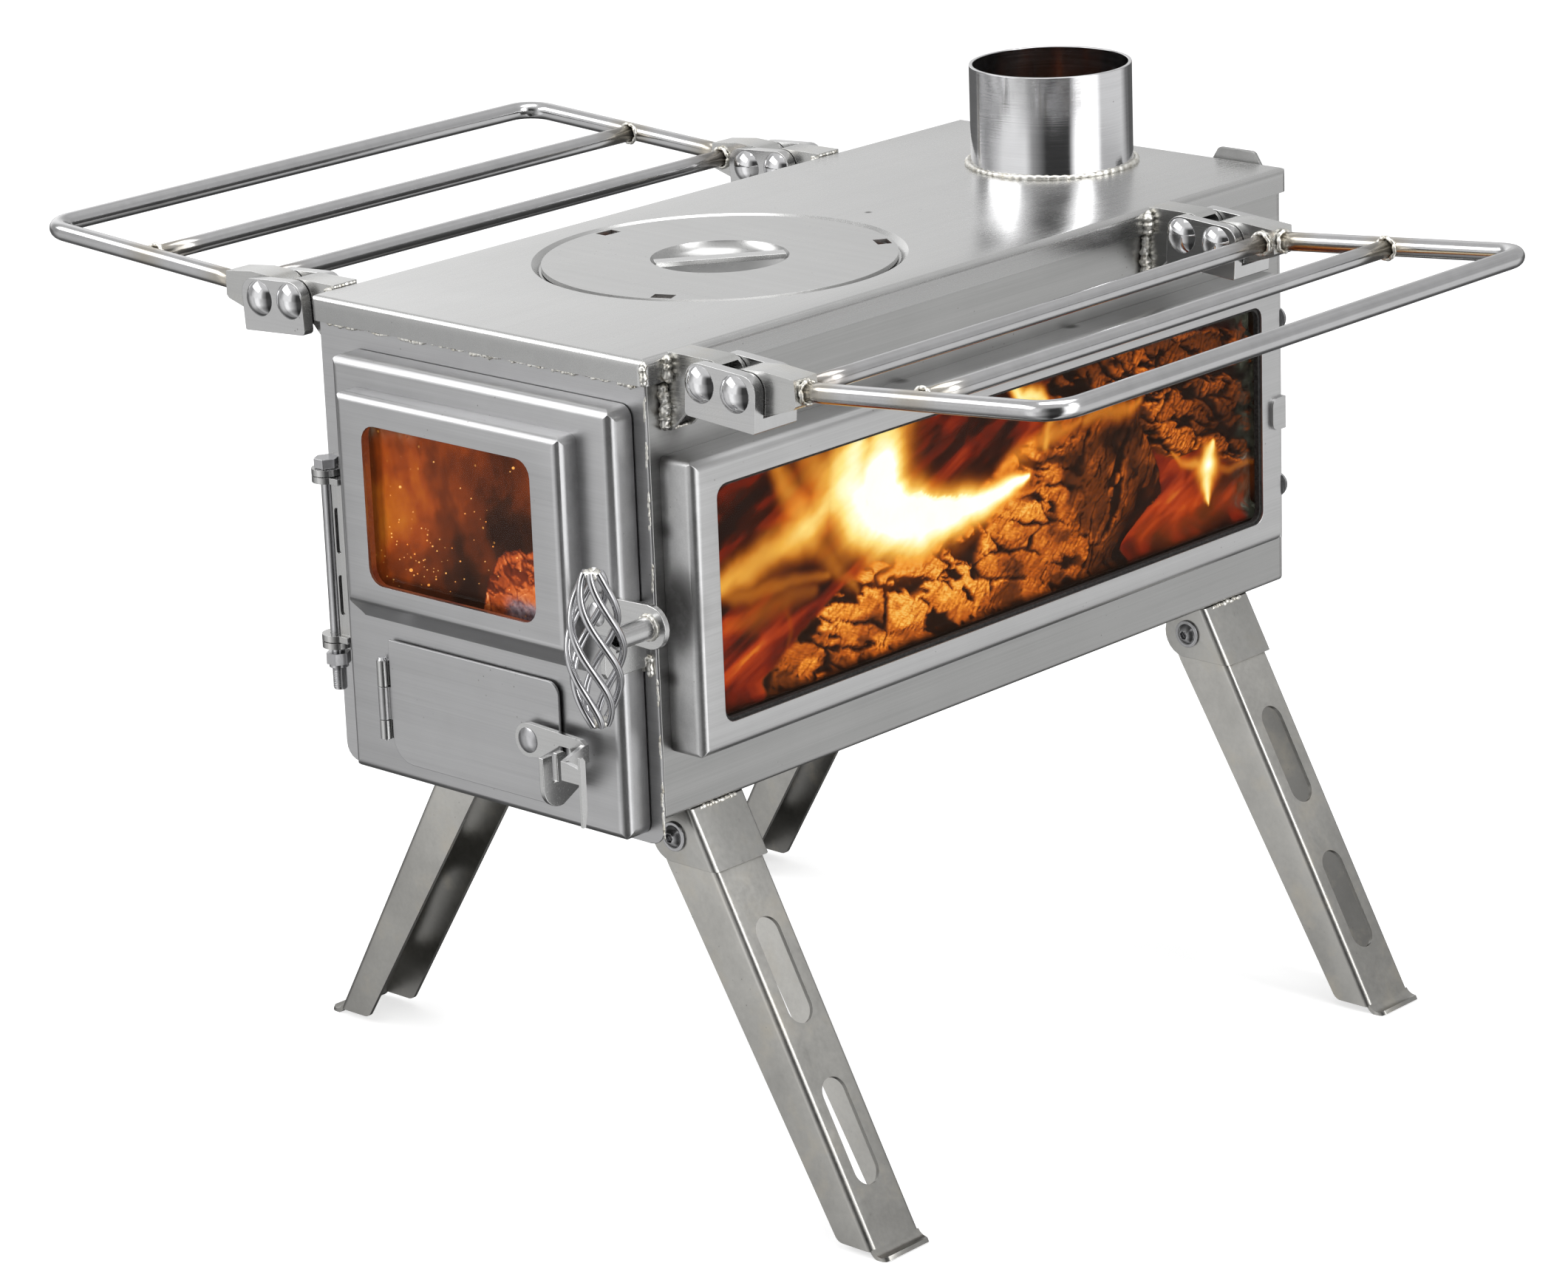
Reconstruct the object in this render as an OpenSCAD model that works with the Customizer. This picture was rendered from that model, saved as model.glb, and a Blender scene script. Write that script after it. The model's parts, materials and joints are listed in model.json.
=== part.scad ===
// Folding tent wood stove with a side window, a glazed door, a lift-off cooking lid,
// two fold-over side shelves and four fold-in legs.
// Millimetres, +Z up, the door faces -Y, the long window faces +X.
// The origin is on the ground, under the middle of the whole stove.

/* [Firebox] */
// Width of the firebox
body_w = 203; // [190:1:220]
// Length of the firebox, front to back
body_l = 444; // [440:1:450]
// Height of the cooking surface above the firebox floor
body_h = 208.5; // [206:0.5:212]
// Thickness of the firebox sheet
sheet_t = 1.5; // [1.2:0.1:1.8]
// How far the top plate stands out past the walls
top_over = 2.9; // [2:0.1:4]
// Depth of the turned-down edge of the top plate
top_lip = 11.7; // [10:0.1:14]

/* [Flue] */
// Outside diameter of the flue collar
flue_d = 79.5; // [76:0.5:82]
// Height of the flue collar above the top plate
flue_h = 49.3; // [40:0.1:55]
// Wall thickness of the flue collar
flue_t = 1.8; // [1.5:0.1:2.2]
// Distance of the flue axis behind the middle of the firebox
flue_y = 172.6; // [170:0.1:174]

/* [Cooking lid] */
// Diameter of the lid
lid_d = 164; // [150:1:165]
// Distance of the lid centre in front of the middle of the firebox
lid_front = 65.6; // [60:0.1:70]
// Diameter of the finger bowl in the lid
bowl_d = 64; // [56:1:68]
// Depth of the finger bowl
bowl_depth = 11; // [8:0.5:12]

/* [Side window] */
// How far the window frame stands out from the wall
win_proud = 19.4; // [18:0.1:20]
// Radius of the rolled edge of the window frame
win_edge_r = 5; // [3:0.5:6]

/* [Door] */
// Depth of the door tray
door_depth = 14.4; // [12:0.1:15]
// Depth of the raised window frame on the door
door_frame_depth = 11.5; // [10:0.5:12]
// Radius of the rolled edges of the door
door_edge_r = 5.5; // [3:0.5:6]

/* [Shelves] */
// Diameter of the shelf rods
rod_d = 8.8; // [8:0.1:9]
// Upward tilt of the right shelf at rest
tilt_right = 5.1; // [4:0.1:6]
// Upward tilt of the left shelf at rest
tilt_left = 3.2; // [3:0.1:5]
// Reach of the outer rod from the shelf hinge
shelf_reach = 165.8; // [160:0.1:168]

/* [Legs] */
// Height of the firebox floor above the ground
ground_h = 188.5; // [185:0.5:192]
// Splay of the legs from the vertical
splay = 28.4; // [27:0.1:29]
// Splay of the front left leg, which stands a little wider
splay_fl = 30; // [28:0.1:31]
// Thickness of the leg sheet
leg_t = 2; // [1.6:0.1:2.2]
// Outside width of each leg channel
leg_w = 32; // [30:0.5:32]

/* [Hidden] */

// distance from the middle of the firebox to the middle of the whole stove
mid_y = 30.5;
w2 = body_w / 2;
l2 = body_l / 2;
t = sheet_t;

// door planes, measured from the middle of the firebox
door_back = -l2 - 0.6;
door_front = door_back - door_depth;
frame_front = door_front - door_frame_depth;
door_x0 = -81; door_x1 = 94; door_z0 = -8; door_z1 = 187;

// door hinge axis
hinge_x = -92; hinge_y = -l2 - 10;

// door lever
lever_x = 85.5; lever_z = 96.7; stem_x = 117;

// air flap
flap_axis_x = -54; flap_axis_y = door_front - 3;
latch_x = 42.7; latch_z = 31.9;

// shelf hinges
hinge_in_x = 128.3; hinge_in_z = 199.9;
link_len = 20.24; link_tilt = -3.7;
hinge_out_x = hinge_in_x + link_len * cos(link_tilt);
hinge_out_z = hinge_in_z + link_len * sin(link_tilt);
arm_front_y = -202.5; arm_rear_y = 125;
tab_half = 7.3; link_half = 13.3; link_gap = 7.7; rivet_r = 4;

// leg pivots
leg_px = 91; leg_pz = -14;
leg_y_fr = -187; leg_y_rr = 177.5; leg_y_fl = -129; leg_y_rl = 139;
web_w = 13.5; sleeve_w2 = 18;

// ---------- helpers ----------
module place() translate([0, mid_y, ground_h]) children();

// points of a rectangle with four corner radii, counter-clockwise from the lower left
function arc(cx, cy, r, a0, a1, n) = r <= 0.01 ? [[cx, cy]] :
  [for (i = [0:n]) [cx + r * cos(a0 + (a1 - a0) * i / n), cy + r * sin(a0 + (a1 - a0) * i / n)]];
function rrect(x0, y0, x1, y1, bl, br, tr, tl, n = 5) = concat(
  arc(x0 + bl, y0 + bl, bl, 180, 270, n), arc(x1 - br, y0 + br, br, 270, 360, n),
  arc(x1 - tr, y1 - tr, tr, 0, 90, n), arc(x0 + tl, y1 - tl, tl, 90, 180, n));

// a profile in X and Z, extruded along Y from ya to yb
module along_y(ya, yb) translate([0, yb, 0]) rotate([90, 0, 0]) linear_extrude(yb - ya) children();
// a profile in Y and Z, extruded along X from xa to xb
module along_x(xa, xb) translate([xa, 0, 0]) rotate([90, 0, 90]) linear_extrude(xb - xa) children();
// a profile in X and Y, extruded along Z from za to zb
module along_z(za, zb) translate([0, 0, za]) linear_extrude(zb - za) children();

// a pressed tray facing -Y: rolled front edges, rounded corners
module tray_y(x0, x1, z0, z1, yf, yb, r, c) intersection() {
  along_z(z0, z1) polygon(rrect(x0, yf, x1, yb, r, r, 0, 0));
  along_x(x0 - 1, x1 + 1) polygon(rrect(yf, z0, yb, z1, r, 0, 0, r));
  along_y(yf - 1, yb + 1) polygon(rrect(x0, z0, x1, z1, c, c, c, c));
}

// a domed rivet head standing on -Y, its flat side at y = 0
module dome_y(r, h) rotate([90, 0, 0]) intersection() {
  translate([0, 0, h - (r * r + h * h) / (2 * h)]) sphere(r = (r * r + h * h) / (2 * h), $fn = 48);
  cylinder(r = r + 1, h = h + 1, $fn = 48);
}

// a cylinder along Y
module cyl_y(x, z, ya, yb, r, fn = 48) translate([x, yb, z]) rotate([90, 0, 0]) cylinder(r = r, h = yb - ya, $fn = fn);
module cyl_z(x, y, za, zb, r, fn = 48) translate([x, y, za]) cylinder(r = r, h = zb - za, $fn = fn);

// ---------- firebox ----------
module firebox_shell() color([0.62, 0.62, 0.63]) place() difference() {
  along_y(-l2 + t, l2 - t) polygon(rrect(-w2, 0, w2, body_h - 2, 2.5, 2.5, 0, 0, 4));
  translate([-w2 + t, -l2, t]) cube([body_w - 2 * t, body_l, body_h]);
  translate([w2 - t - 1, -195, 47]) cube([t + 2, 372, 99]);
}

module front_plate() color([0.6, 0.6, 0.62]) place() difference() {
  along_y(-l2, -l2 + t) polygon(rrect(-w2, -12, w2, body_h - 2, 8, 8, 0, 0));
  along_y(-l2 - 1, -l2 + t + 1) polygon(rrect(-68, 4, 81, 174, 6, 6, 6, 6));
}

module rear_plate() color([0.58, 0.58, 0.6]) place()
  along_y(l2 - t, l2) polygon(rrect(-w2, 0, w2, body_h - 2, 2.5, 2.5, 0, 0, 4));

module top_plate() color([0.72, 0.72, 0.72]) place() {
  difference() {
    intersection() {
      along_y(-l2 - top_over, l2 + top_over) polygon(rrect(-w2 - top_over, body_h - top_lip, w2 + top_over, body_h, 0, 0, 3.5, 3.5));
      along_x(-w2 - top_over - 1, w2 + top_over + 1) polygon(rrect(-l2 - top_over, body_h - top_lip, l2 + top_over, body_h, 0, 0, 3.5, 3.5));
      along_z(body_h - top_lip - 1, body_h + 1) polygon(rrect(-w2 - top_over, -l2 - top_over, w2 + top_over, l2 + top_over, 4, 4, 4, 4));
    }
    translate([-w2 - 0.05, -l2 - 0.05, body_h - 20]) cube([body_w + 0.1, body_l + 0.1, 18]);
    cyl_z(0, -lid_front, body_h - 10, body_h + 5, 89, 96);
    cyl_z(0, flue_y, body_h - 10, body_h + 5, flue_d / 2 - flue_t, 96);
  }
  // joggled ring that the lid drops into
  translate([0, -lid_front, 0]) rotate_extrude($fn = 96) polygon([
    [79.3, body_h - 5], [85, body_h - 5], [88, body_h - 2], [89.5, body_h - 2],
    [89.5, body_h], [86.5, body_h], [83.2, body_h - 3], [79.3, body_h - 3]]);
}

// straight tube whose foot is swollen a little where it is welded on
flue_r = flue_d / 2; flue_foot = 3;
module flue_collar() color([0.6, 0.6, 0.62]) place() translate([0, flue_y, body_h]) rotate_extrude($fn = 96) polygon([
  [flue_r - flue_t, 0], [flue_r + 0.6, 0], [flue_r + 0.6, 1.5], [flue_r, flue_foot], [flue_r, flue_h], [flue_r - flue_t, flue_h]]);

module flue_weld_bead() color([0.8, 0.8, 0.78]) place()
  translate([0, flue_y, body_h]) rotate_extrude($fn = 96)
    polygon([[flue_r + 0.6, 0], [flue_r + 3.2, 0], [flue_r + 2.2, 1.4], [flue_r + 0.6, 2.4]]);

module weld_beads() color([0.8, 0.8, 0.78]) place() {
  // beads that hold the four shelf hinge tabs
  for (s = [-1, 1], y = [arm_front_y - tab_half - 1.72, arm_rear_y - tab_half - 1.72]) {
    cyl_z(s * (w2 + 1.72), y, 176, 196.6, 1.7, 20);
    cyl_z(s * (w2 + top_over + 1.72), y, 197, 207.4, 1.7, 20);
  }
  // beads at the door catch
  for (z = [66, 90]) cyl_z(w2 - 1.6, -l2 - 1.54, z, z + 9, 1.5, 20);
}

// ---------- side window ----------
win_y0 = -214.8; win_y1 = 196; win_z0 = 29.7; win_z1 = 163.5;
win_x = w2 + win_proud;
screw_z = [57.6, 140.6];
module side_window_frame() color([0.62, 0.62, 0.62]) place() difference() {
  intersection() {
    along_z(win_z0, win_z1) polygon(rrect(w2, win_y0, win_x, win_y1, 0, win_edge_r, 0, 0));
    along_y(win_y0 - 1, win_y1 + 1) polygon(rrect(w2, win_z0, win_x, win_z1, 0, win_edge_r, win_edge_r, 0));
    along_x(w2 - 1, win_x + 1) polygon(rrect(win_y0, win_z0, win_y1, win_z1, 3, 0, 0, 3));
  }
  intersection() {
    along_z(win_z0 + t, win_z1 - t) polygon(rrect(w2 - 1, win_y0 + t, win_x - t, win_y1 + 5, 0, win_edge_r - t, 0, 0));
    along_y(win_y0 - 1, win_y1 + 6) polygon(rrect(w2 - 1, win_z0 + t, win_x - t, win_z1 - t, 0, win_edge_r - t, win_edge_r - t, 0));
  }
  along_x(win_x - t - 1, win_x + 1) polygon(rrect(-200, 42.6, 182, 150.4, 6, 6, 6, 6));
}

module side_window_gasket() color([0.08, 0.08, 0.08]) place() difference() {
  translate([win_x - t - 2.5, -208, 34.6]) cube([2.5, 398, 123.8]);
  along_x(win_x - t - 4, win_x) polygon(rrect(-198.6, 44, 180.6, 149, 5, 5, 5, 5));
}

module side_window_glass() color([0.25, 0.2, 0.16, 0.5]) place()
  translate([win_x - t - 2.5 - 4, -206, 36]) cube([4, 394, 121]);

module side_glass_rails() color([0.5, 0.5, 0.5]) place()
  for (z = [36.5, 150.5]) translate([w2, -204, z]) cube([win_proud - t - 6.5, 390, 6]);

module side_glass_end_cap() color([0.58, 0.58, 0.58]) place() difference() {
  union() {
    translate([w2 + 0.05, win_y1, win_z0 + 1.5]) cube([win_proud - 1, 2, win_z1 - win_z0 - 3]);
    along_x(win_x + 0.02, win_x + 1.8) polygon(rrect(188, 87, 198, 103, 4, 0, 0, 4));
    translate([win_x - 3, win_y1, 87]) cube([4.8, 2, 16]);
  }
  for (z = screw_z) cyl_y(w2 + 14.6, z, win_y1 - 1, win_y1 + 3, 2.6, 32);
}

module end_cap_screws() color([0.66, 0.66, 0.68]) place()
  for (z = screw_z) difference() {
    union() {
      translate([w2 + 14.6, win_y1 + 2, z]) rotate([0, 0, 180]) dome_y(6.4, 5.2);
      cyl_y(w2 + 14.6, z, win_y1 - 5, win_y1 + 2, 2.5, 32);
    }
    translate([w2 + 14.6, win_y1 + 7, z]) rotate([0, 45, 0]) cube([14, 3.2, 1.3], center = true);
  }

// ---------- shelf hinges ----------
// a folded channel that sits on the wall; profile in X and Z
module tab_profile() polygon(concat([[w2, 196.6], [w2, 174.5], [w2 + 3, 174.5], [hinge_in_x - 9, hinge_in_z - 10.6]],
  arc(hinge_in_x, hinge_in_z, 9.6, -80, 80, 8), [[w2 + top_over + 0.1, hinge_in_z + 9.6], [w2 + top_over + 0.1, 196.6]]));

module hinge_tab(y) difference() {
  along_y(y - tab_half, y + tab_half) tab_profile();
  along_y(y - tab_half + 2, y + tab_half - 2) polygon([[w2 - 5, 150], [150, 150], [150, hinge_in_z + 7.6], [w2 - 5, hinge_in_z + 7.6]]);
  cyl_y(hinge_in_x, hinge_in_z, y - 20, y + 20, rivet_r + 0.06);
}
module shelf_hinge_tabs() color([0.64, 0.64, 0.63]) place()
  for (s = [0, 1], y = [arm_front_y, arm_rear_y]) mirror([s, 0, 0]) hinge_tab(y);

// a clevis with a closed outer end, slotted for the shelf lug; drawn level, hinge at the origin
module link_level() difference() {
  along_y(-link_half, link_half) polygon(rrect(-8.5, -15.4, 32, 9.2, 2.5, 0.8, 7.5, 8, 6));
  along_y(-link_gap, link_gap) polygon([[-13, -30], [29.4, -30], [29.4, -9.1], [40, -9.1], [40, 20], [-13, 20]]);
  cyl_y(0, 0, -20, 20, rivet_r + 0.05);
  cyl_y(link_len, 0, -20, 20, rivet_r + 0.05);
}
module link(s, y) color([0.66, 0.66, 0.66]) place() mirror([s, 0, 0])
  translate([hinge_in_x, y, hinge_in_z]) rotate([0, -link_tilt, 0]) link_level();
module right_front_link() link(0, arm_front_y);
module right_rear_link() link(0, arm_rear_y);
module left_front_link() link(1, arm_front_y);
module left_rear_link() link(1, arm_rear_y);

module rivet_pair(s, y) color([0.8, 0.8, 0.82]) place() mirror([s, 0, 0])
  translate([hinge_in_x, y, hinge_in_z]) rotate([0, -link_tilt, 0]) for (x = [0, link_len]) translate([x, 0, 0]) {
    cyl_y(0, 0, -link_half, link_half, rivet_r);
    translate([0, -link_half, 0]) dome_y(8.4, 4.2);
    translate([0, link_half, 0]) rotate([0, 0, 180]) dome_y(8.4, 4.2);
  }
module right_front_rivets() rivet_pair(0, arm_front_y);
module right_rear_rivets() rivet_pair(0, arm_rear_y);
module left_front_rivets() rivet_pair(1, arm_front_y);
module left_rear_rivets() rivet_pair(1, arm_rear_y);

// ---------- shelves: drawn level with the outer hinge axis at the origin ----------
rr = rod_d / 2; bend = 14; arm_u0 = 24; mid_u = 90.9; in_u = 22.4;
module shelf_frame_level() {
  for (y = [arm_front_y, arm_rear_y])
    translate([arm_u0, y, 0]) rotate([0, 90, 0]) cylinder(r = rr, h = shelf_reach - bend - arm_u0, $fn = 32);
  translate([shelf_reach, arm_rear_y - bend, 0]) rotate([90, 0, 0]) cylinder(r = rr, h = arm_rear_y - arm_front_y - 2 * bend, $fn = 32);
  translate([shelf_reach - bend, arm_rear_y - bend, 0]) rotate_extrude(angle = 90, $fn = 96) translate([bend, 0]) circle(r = rr, $fn = 32);
  translate([shelf_reach - bend, arm_front_y + bend, 0]) rotate([0, 0, -90]) rotate_extrude(angle = 90, $fn = 96) translate([bend, 0]) circle(r = rr, $fn = 32);
}
module shelf_cross_level() {
  translate([mid_u, arm_rear_y - rr * 0.98, 0]) rotate([90, 0, 0]) cylinder(r = rr - 0.3, h = arm_rear_y - arm_front_y - 2 * rr * 0.98, $fn = 32);
  translate([in_u, arm_rear_y - tab_half, 0]) rotate([90, 0, 0]) cylinder(r = rr - 0.3, h = arm_rear_y - arm_front_y - 2 * tab_half, $fn = 32);
}
module shelf_lug_level(y) difference() {
  along_y(y - tab_half, y + tab_half) polygon(concat(arc(0, 0, 9.5, 90, 270, 10), [[12, -9.9], [27.6, -6.4], [29.2, -4.9], [29.2, 6.4], [12, 9.3]]));
  along_y(y - tab_half + 2, y + tab_half - 2) polygon([[-20, -20], [26.8, -20], [26.8, 4.6], [11.8, 7.2], [-20, 7.2]]);
  cyl_y(0, 0, y - 20, y + 20, rivet_r + 0.06);
  translate([arm_u0, y, 0]) rotate([0, 90, 0]) cylinder(r = rr + 0.02, h = 20, $fn = 32);
}
module shelf_place(s, tilt) place() mirror([s, 0, 0]) translate([hinge_out_x, 0, hinge_out_z]) rotate([0, -tilt, 0]) children();

module right_shelf_frame() color([0.72, 0.72, 0.73]) shelf_place(0, tilt_right) shelf_frame_level();
module right_shelf_cross_rods() color([0.72, 0.72, 0.73]) shelf_place(0, tilt_right) shelf_cross_level();
module right_shelf_lugs() color([0.66, 0.66, 0.66]) shelf_place(0, tilt_right) for (y = [arm_front_y, arm_rear_y]) shelf_lug_level(y);
module left_shelf_frame() color([0.72, 0.72, 0.73]) shelf_place(1, tilt_left) shelf_frame_level();
module left_shelf_cross_rods() color([0.72, 0.72, 0.73]) shelf_place(1, tilt_left) shelf_cross_level();
module left_shelf_lugs() color([0.66, 0.66, 0.66]) shelf_place(1, tilt_left) for (y = [arm_front_y, arm_rear_y]) shelf_lug_level(y);

// ---------- legs: drawn upright with the pivot at the origin, the web on the +X side ----------
// sp is the splay; foot(sp) is where the ground crosses the line through the pivot
function foot(sp) = (ground_h + leg_pz) / cos(sp);
lip_i = 5; lip_o = lip_i + leg_t;
function lip_u(sp) = foot(sp) + (web_w + lip_i) * tan(sp) - (lip_o - 0.4) / cos(sp);
function flange_u(sp) = foot(sp) - 5.9;
module leg_level(sp) difference() {
  union() {
    // channel: two flanges and a web, cut from one tapered block
    intersection() {
      along_y(-leg_w / 2, leg_w / 2) polygon(concat(arc(0, 0, 12.5, 20, 180, 10), [[-12.9, -10]],
        arc(0.25, -flange_u(sp) + 3.06, 5, 182.6, 270 - sp, 5), [[web_w, -flange_u(sp) - (web_w + 4.6) * tan(sp)], [web_w, 0]]));
      along_z(-260, 30) polygon(rrect(-40, -leg_w / 2, web_w, leg_w / 2, 0, 3.2, 3.2, 0, 5));
    }
    // end of the web, rolled outwards where it meets the ground
    intersection() {
      along_y(-leg_w / 2, leg_w / 2) polygon(concat(arc(web_w + lip_i, -lip_u(sp), lip_o, 180, 275, 9), arc(web_w + lip_i, -lip_u(sp), lip_i, 275, 180, 9)));
      along_z(-260, 30) polygon(rrect(-40, -15.2, web_w + 6.2, 15.2, 0, 5, 5, 0, 5));
      along_y(-50, 50) polygon([[-60, -150], [60, -150], [60, -foot(sp) - 60 * tan(sp)], [-60, -foot(sp) + 60 * tan(sp)]]);
    }
  }
  along_y(-leg_w / 2 + leg_t, leg_w / 2 - leg_t) polygon([[-20, 30], [web_w - leg_t, 30], [web_w - leg_t, -lip_u(sp)], [web_w - leg_t, -230], [-20, -230]]);
  for (u = [[55.1, 90.4], [131.5, 167]]) {
    for (v = u) translate([0, 0, -v]) rotate([0, 90, 0]) cylinder(r = 7.5, h = 40, $fn = 40);
    translate([0, -7.49, -u[1]]) cube([40, 14.98, u[1] - u[0]]);
  }
  cyl_y(0, 0, -30, 30, 3.06, 40);
}
module leg(s, y, sp) color([0.6, 0.6, 0.56]) place() mirror([s, 0, 0]) translate([leg_px, y, leg_pz]) rotate([0, -sp, 0]) leg_level(sp);
module leg_front_right() leg(0, leg_y_fr, splay);
module leg_rear_right() leg(0, leg_y_rr, splay);
module leg_front_left() leg(1, leg_y_fl, splay_fl);
module leg_rear_left() leg(1, leg_y_rl, splay);

function dir_u(sp, u, w) = [leg_px + u * sin(sp) + w * cos(sp), leg_pz - u * cos(sp) + w * sin(sp)];
wo = web_w + 0.3 + 1.5;
// folded sleeve: a web that runs up to the firebox floor and two rounded cheeks
module sleeve(sp) difference() {
  intersection() {
    translate([leg_px, 0, leg_pz]) rotate([0, -sp, 0]) along_z(-60, 60) polygon(rrect(-60, -sleeve_w2, wo, sleeve_w2, 0, 3, 3, 0, 5));
    along_y(-sleeve_w2, sleeve_w2) polygon(concat([dir_u(sp, 22.5, wo), dir_u(sp, (wo * sin(sp) + leg_pz) / cos(sp), wo), [79.5, 0]],
      arc(leg_px - 2, leg_pz - 0.5, 12, 150, 262, 8)));
  }
  along_y(-sleeve_w2 + 1.5, sleeve_w2 - 1.5) polygon([dir_u(sp, -60, wo - 1.5), dir_u(sp, 60, wo - 1.5), dir_u(sp, 60, -80), dir_u(sp, -60, -80)]);
  cyl_y(leg_px, leg_pz, -40, 40, 3.06, 40);
}
module each_leg() {
  for (y = [leg_y_fr, leg_y_rr]) translate([0, y, 0]) children();
  for (y = [leg_y_fl, leg_y_rl]) mirror([1, 0, 0]) translate([0, y, 0]) children();
}
module leg_sleeves() color([0.62, 0.62, 0.6]) place() {
  for (y = [leg_y_fr, leg_y_rr]) translate([0, y, 0]) sleeve(splay);
  mirror([1, 0, 0]) translate([0, leg_y_fl, 0]) sleeve(splay_fl);
  mirror([1, 0, 0]) translate([0, leg_y_rl, 0]) sleeve(splay);
}
module leg_pivot_bolts() color([0.55, 0.55, 0.57]) place() each_leg() difference() {
  union() {
    cyl_y(leg_px, leg_pz, -sleeve_w2, sleeve_w2 + 3.4, 3, 40);
    cyl_y(leg_px, leg_pz, -sleeve_w2 - 1.2, -sleeve_w2, 6.8, 48);
    translate([leg_px, -sleeve_w2 - 1.2, leg_pz]) dome_y(5.2, 2.9);
  }
  translate([leg_px, -sleeve_w2 - 1.5, leg_pz]) rotate([90, 0, 0]) cylinder(r = 2.2, h = 5, $fn = 6);
}
module leg_pivot_nuts() color([0.55, 0.55, 0.57]) place() each_leg() difference() {
  translate([leg_px, sleeve_w2 + 3, leg_pz]) rotate([90, 0, 0]) cylinder(r = 5.7, h = 3, $fn = 6);
  cyl_y(leg_px, leg_pz, 0, 40, 3.05, 40);
}

// ---------- door hinge ----------
module ear(z, r = 7) {
  cyl_z(hinge_x, hinge_y, z, z + 3, r, 48);
}
// two ears on a strip that is welded to the front plate
module door_hinge_bracket() color([0.6, 0.6, 0.6]) place() difference() {
  union() {
    for (z = [128.6, 46.9]) {
      ear(z);
      translate([hinge_x - 7, hinge_y, z]) cube([13, -l2 - hinge_y, 3]);
    }
    translate([-98.9, -l2 - 2.5, 43]) cube([12.9, 2.5, 92]);
  }
  cyl_z(hinge_x, hinge_y, 0, 200, 3.05, 40);
}
// two ears joined by a slotted strip that is welded to the edge of the door
module door_hinge_leaf() color([0.6, 0.6, 0.6]) place() difference() {
  union() {
    for (z = [125.2, 50.3]) {
      ear(z);
      translate([hinge_x, hinge_y - 4, z]) cube([door_x0 - 0.02 - hinge_x, 8, 3]);
    }
    translate([-88.6, hinge_y - 1, 50.3]) cube([door_x0 - 0.02 + 88.6, 2, 77.9]);
  }
  cyl_z(hinge_x, hinge_y, 0, 200, 3.06, 40);
  for (z = [[62.5, 81.7], [91.7, 113.5]]) along_y(hinge_y - 8, hinge_y + 8) polygon(rrect(-87.6, z[0], -84.4, z[1], 1.59, 1.59, 1.59, 1.59));
}
module hinge_bolt() color([0.62, 0.62, 0.64]) place() {
  cyl_z(hinge_x, hinge_y, 26.5, 131.8, 3, 40);
  translate([hinge_x, hinge_y, 131.7]) cylinder(r = 5.77, h = 4.6, $fn = 6);
}
module hinge_nut() color([0.6, 0.6, 0.62]) place() difference() {
  union() {
    translate([hinge_x, hinge_y, 38.8]) cylinder(r = 5.77, h = 5.4, $fn = 6);
    cyl_z(hinge_x, hinge_y, 37.2, 39, 4.5, 40);
  }
  cyl_z(hinge_x, hinge_y, 30, 60, 3.04, 40);
}

module door_catch() color([0.68, 0.68, 0.66]) place() along_x(95.2, 98.2) polygon([
  [-l2, 71], [-l2 - 26, 71], [-l2 - 28, 74], [-l2 - 28, 84], [-l2 - 26.5, 86], [-l2 - 20.6, 86], [-l2 - 20.6, 82],
  [-l2 - 15.8, 82], [-l2 - 15.8, 97], [-l2 - 13, 100], [-l2, 100]]);

module rear_tabs() color([0.56, 0.56, 0.58]) place() for (s = [0, 1]) mirror([s, 0, 0])
  along_y(l2 + top_over, l2 + top_over + 2) polygon(concat([[58, 198], [88, 198], [88, 207]], arc(82, 210, 3.5, 45, 90, 3), arc(64, 210, 3.5, 90, 135, 3), [[58, 207]]));

module fire_grate() color([0.3, 0.3, 0.3]) place() {
  for (i = [0:8]) translate([-92, -200 + i * 50, 22]) cube([184, 7, 3]);
  for (x = [-80, 72]) translate([x, -206, 1.5]) cube([8, 420, 20.5]);
}

// ---------- door ----------
module door_panel() color([0.6, 0.6, 0.62]) place() difference() {
  tray_y(door_x0, door_x1, door_z0, door_z1, door_front, door_back, door_edge_r, 6);
  tray_y(door_x0 + t, door_x1 - t, door_z0 + t, door_z1 - t, door_front + t, door_back + 1, door_edge_r - t, 6 - t);
  along_y(door_front - 1, door_front + 3) polygon(rrect(-52, 84, 59, 166, 6, 6, 6, 6));
  along_y(door_front - 1, door_front + 3) polygon(rrect(-38, 14, 40, 50, 6, 6, 6, 6));
}

// raised frame: its lower side slopes back to the door
frame_r = door_edge_r - 1;
module door_window_frame() color([0.6, 0.6, 0.62]) place() difference() {
  intersection() {
    along_z(66, 174.5) polygon(rrect(-66.5, frame_front, 74, door_front, frame_r, frame_r, 0, 0));
    along_x(-67, 75) polygon(concat([[door_front, 67.5], [door_front, 174.5]], arc(frame_front + frame_r, 174.5 - frame_r, frame_r, 90, 180, 5),
      [[frame_front, 82], [frame_front + 0.5, 79.5], [frame_front + 1.6, 77.6], [door_front - 2.2, 70]]));
    along_y(frame_front - 1, door_front + 1) polygon(rrect(-66.5, 60, 74, 174.5, 0, 0, 4, 4));
  }
  intersection() {
    along_x(-65, 72.5) polygon([[door_front + 1, 72], [door_front + 1, 173], [frame_front + t + 2.6, 173], [frame_front + t, 170.4], [frame_front + t, 81], [door_front - 2, 72]]);
    along_z(60, 180) polygon(rrect(-65, frame_front + t, 72.5, door_front + 1, frame_r - t, frame_r - t, 0, 0));
  }
  along_y(frame_front - 1, frame_front + 4) polygon(rrect(-49.5, 88, 56, 162, 8, 8, 8, 8));
}

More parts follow.
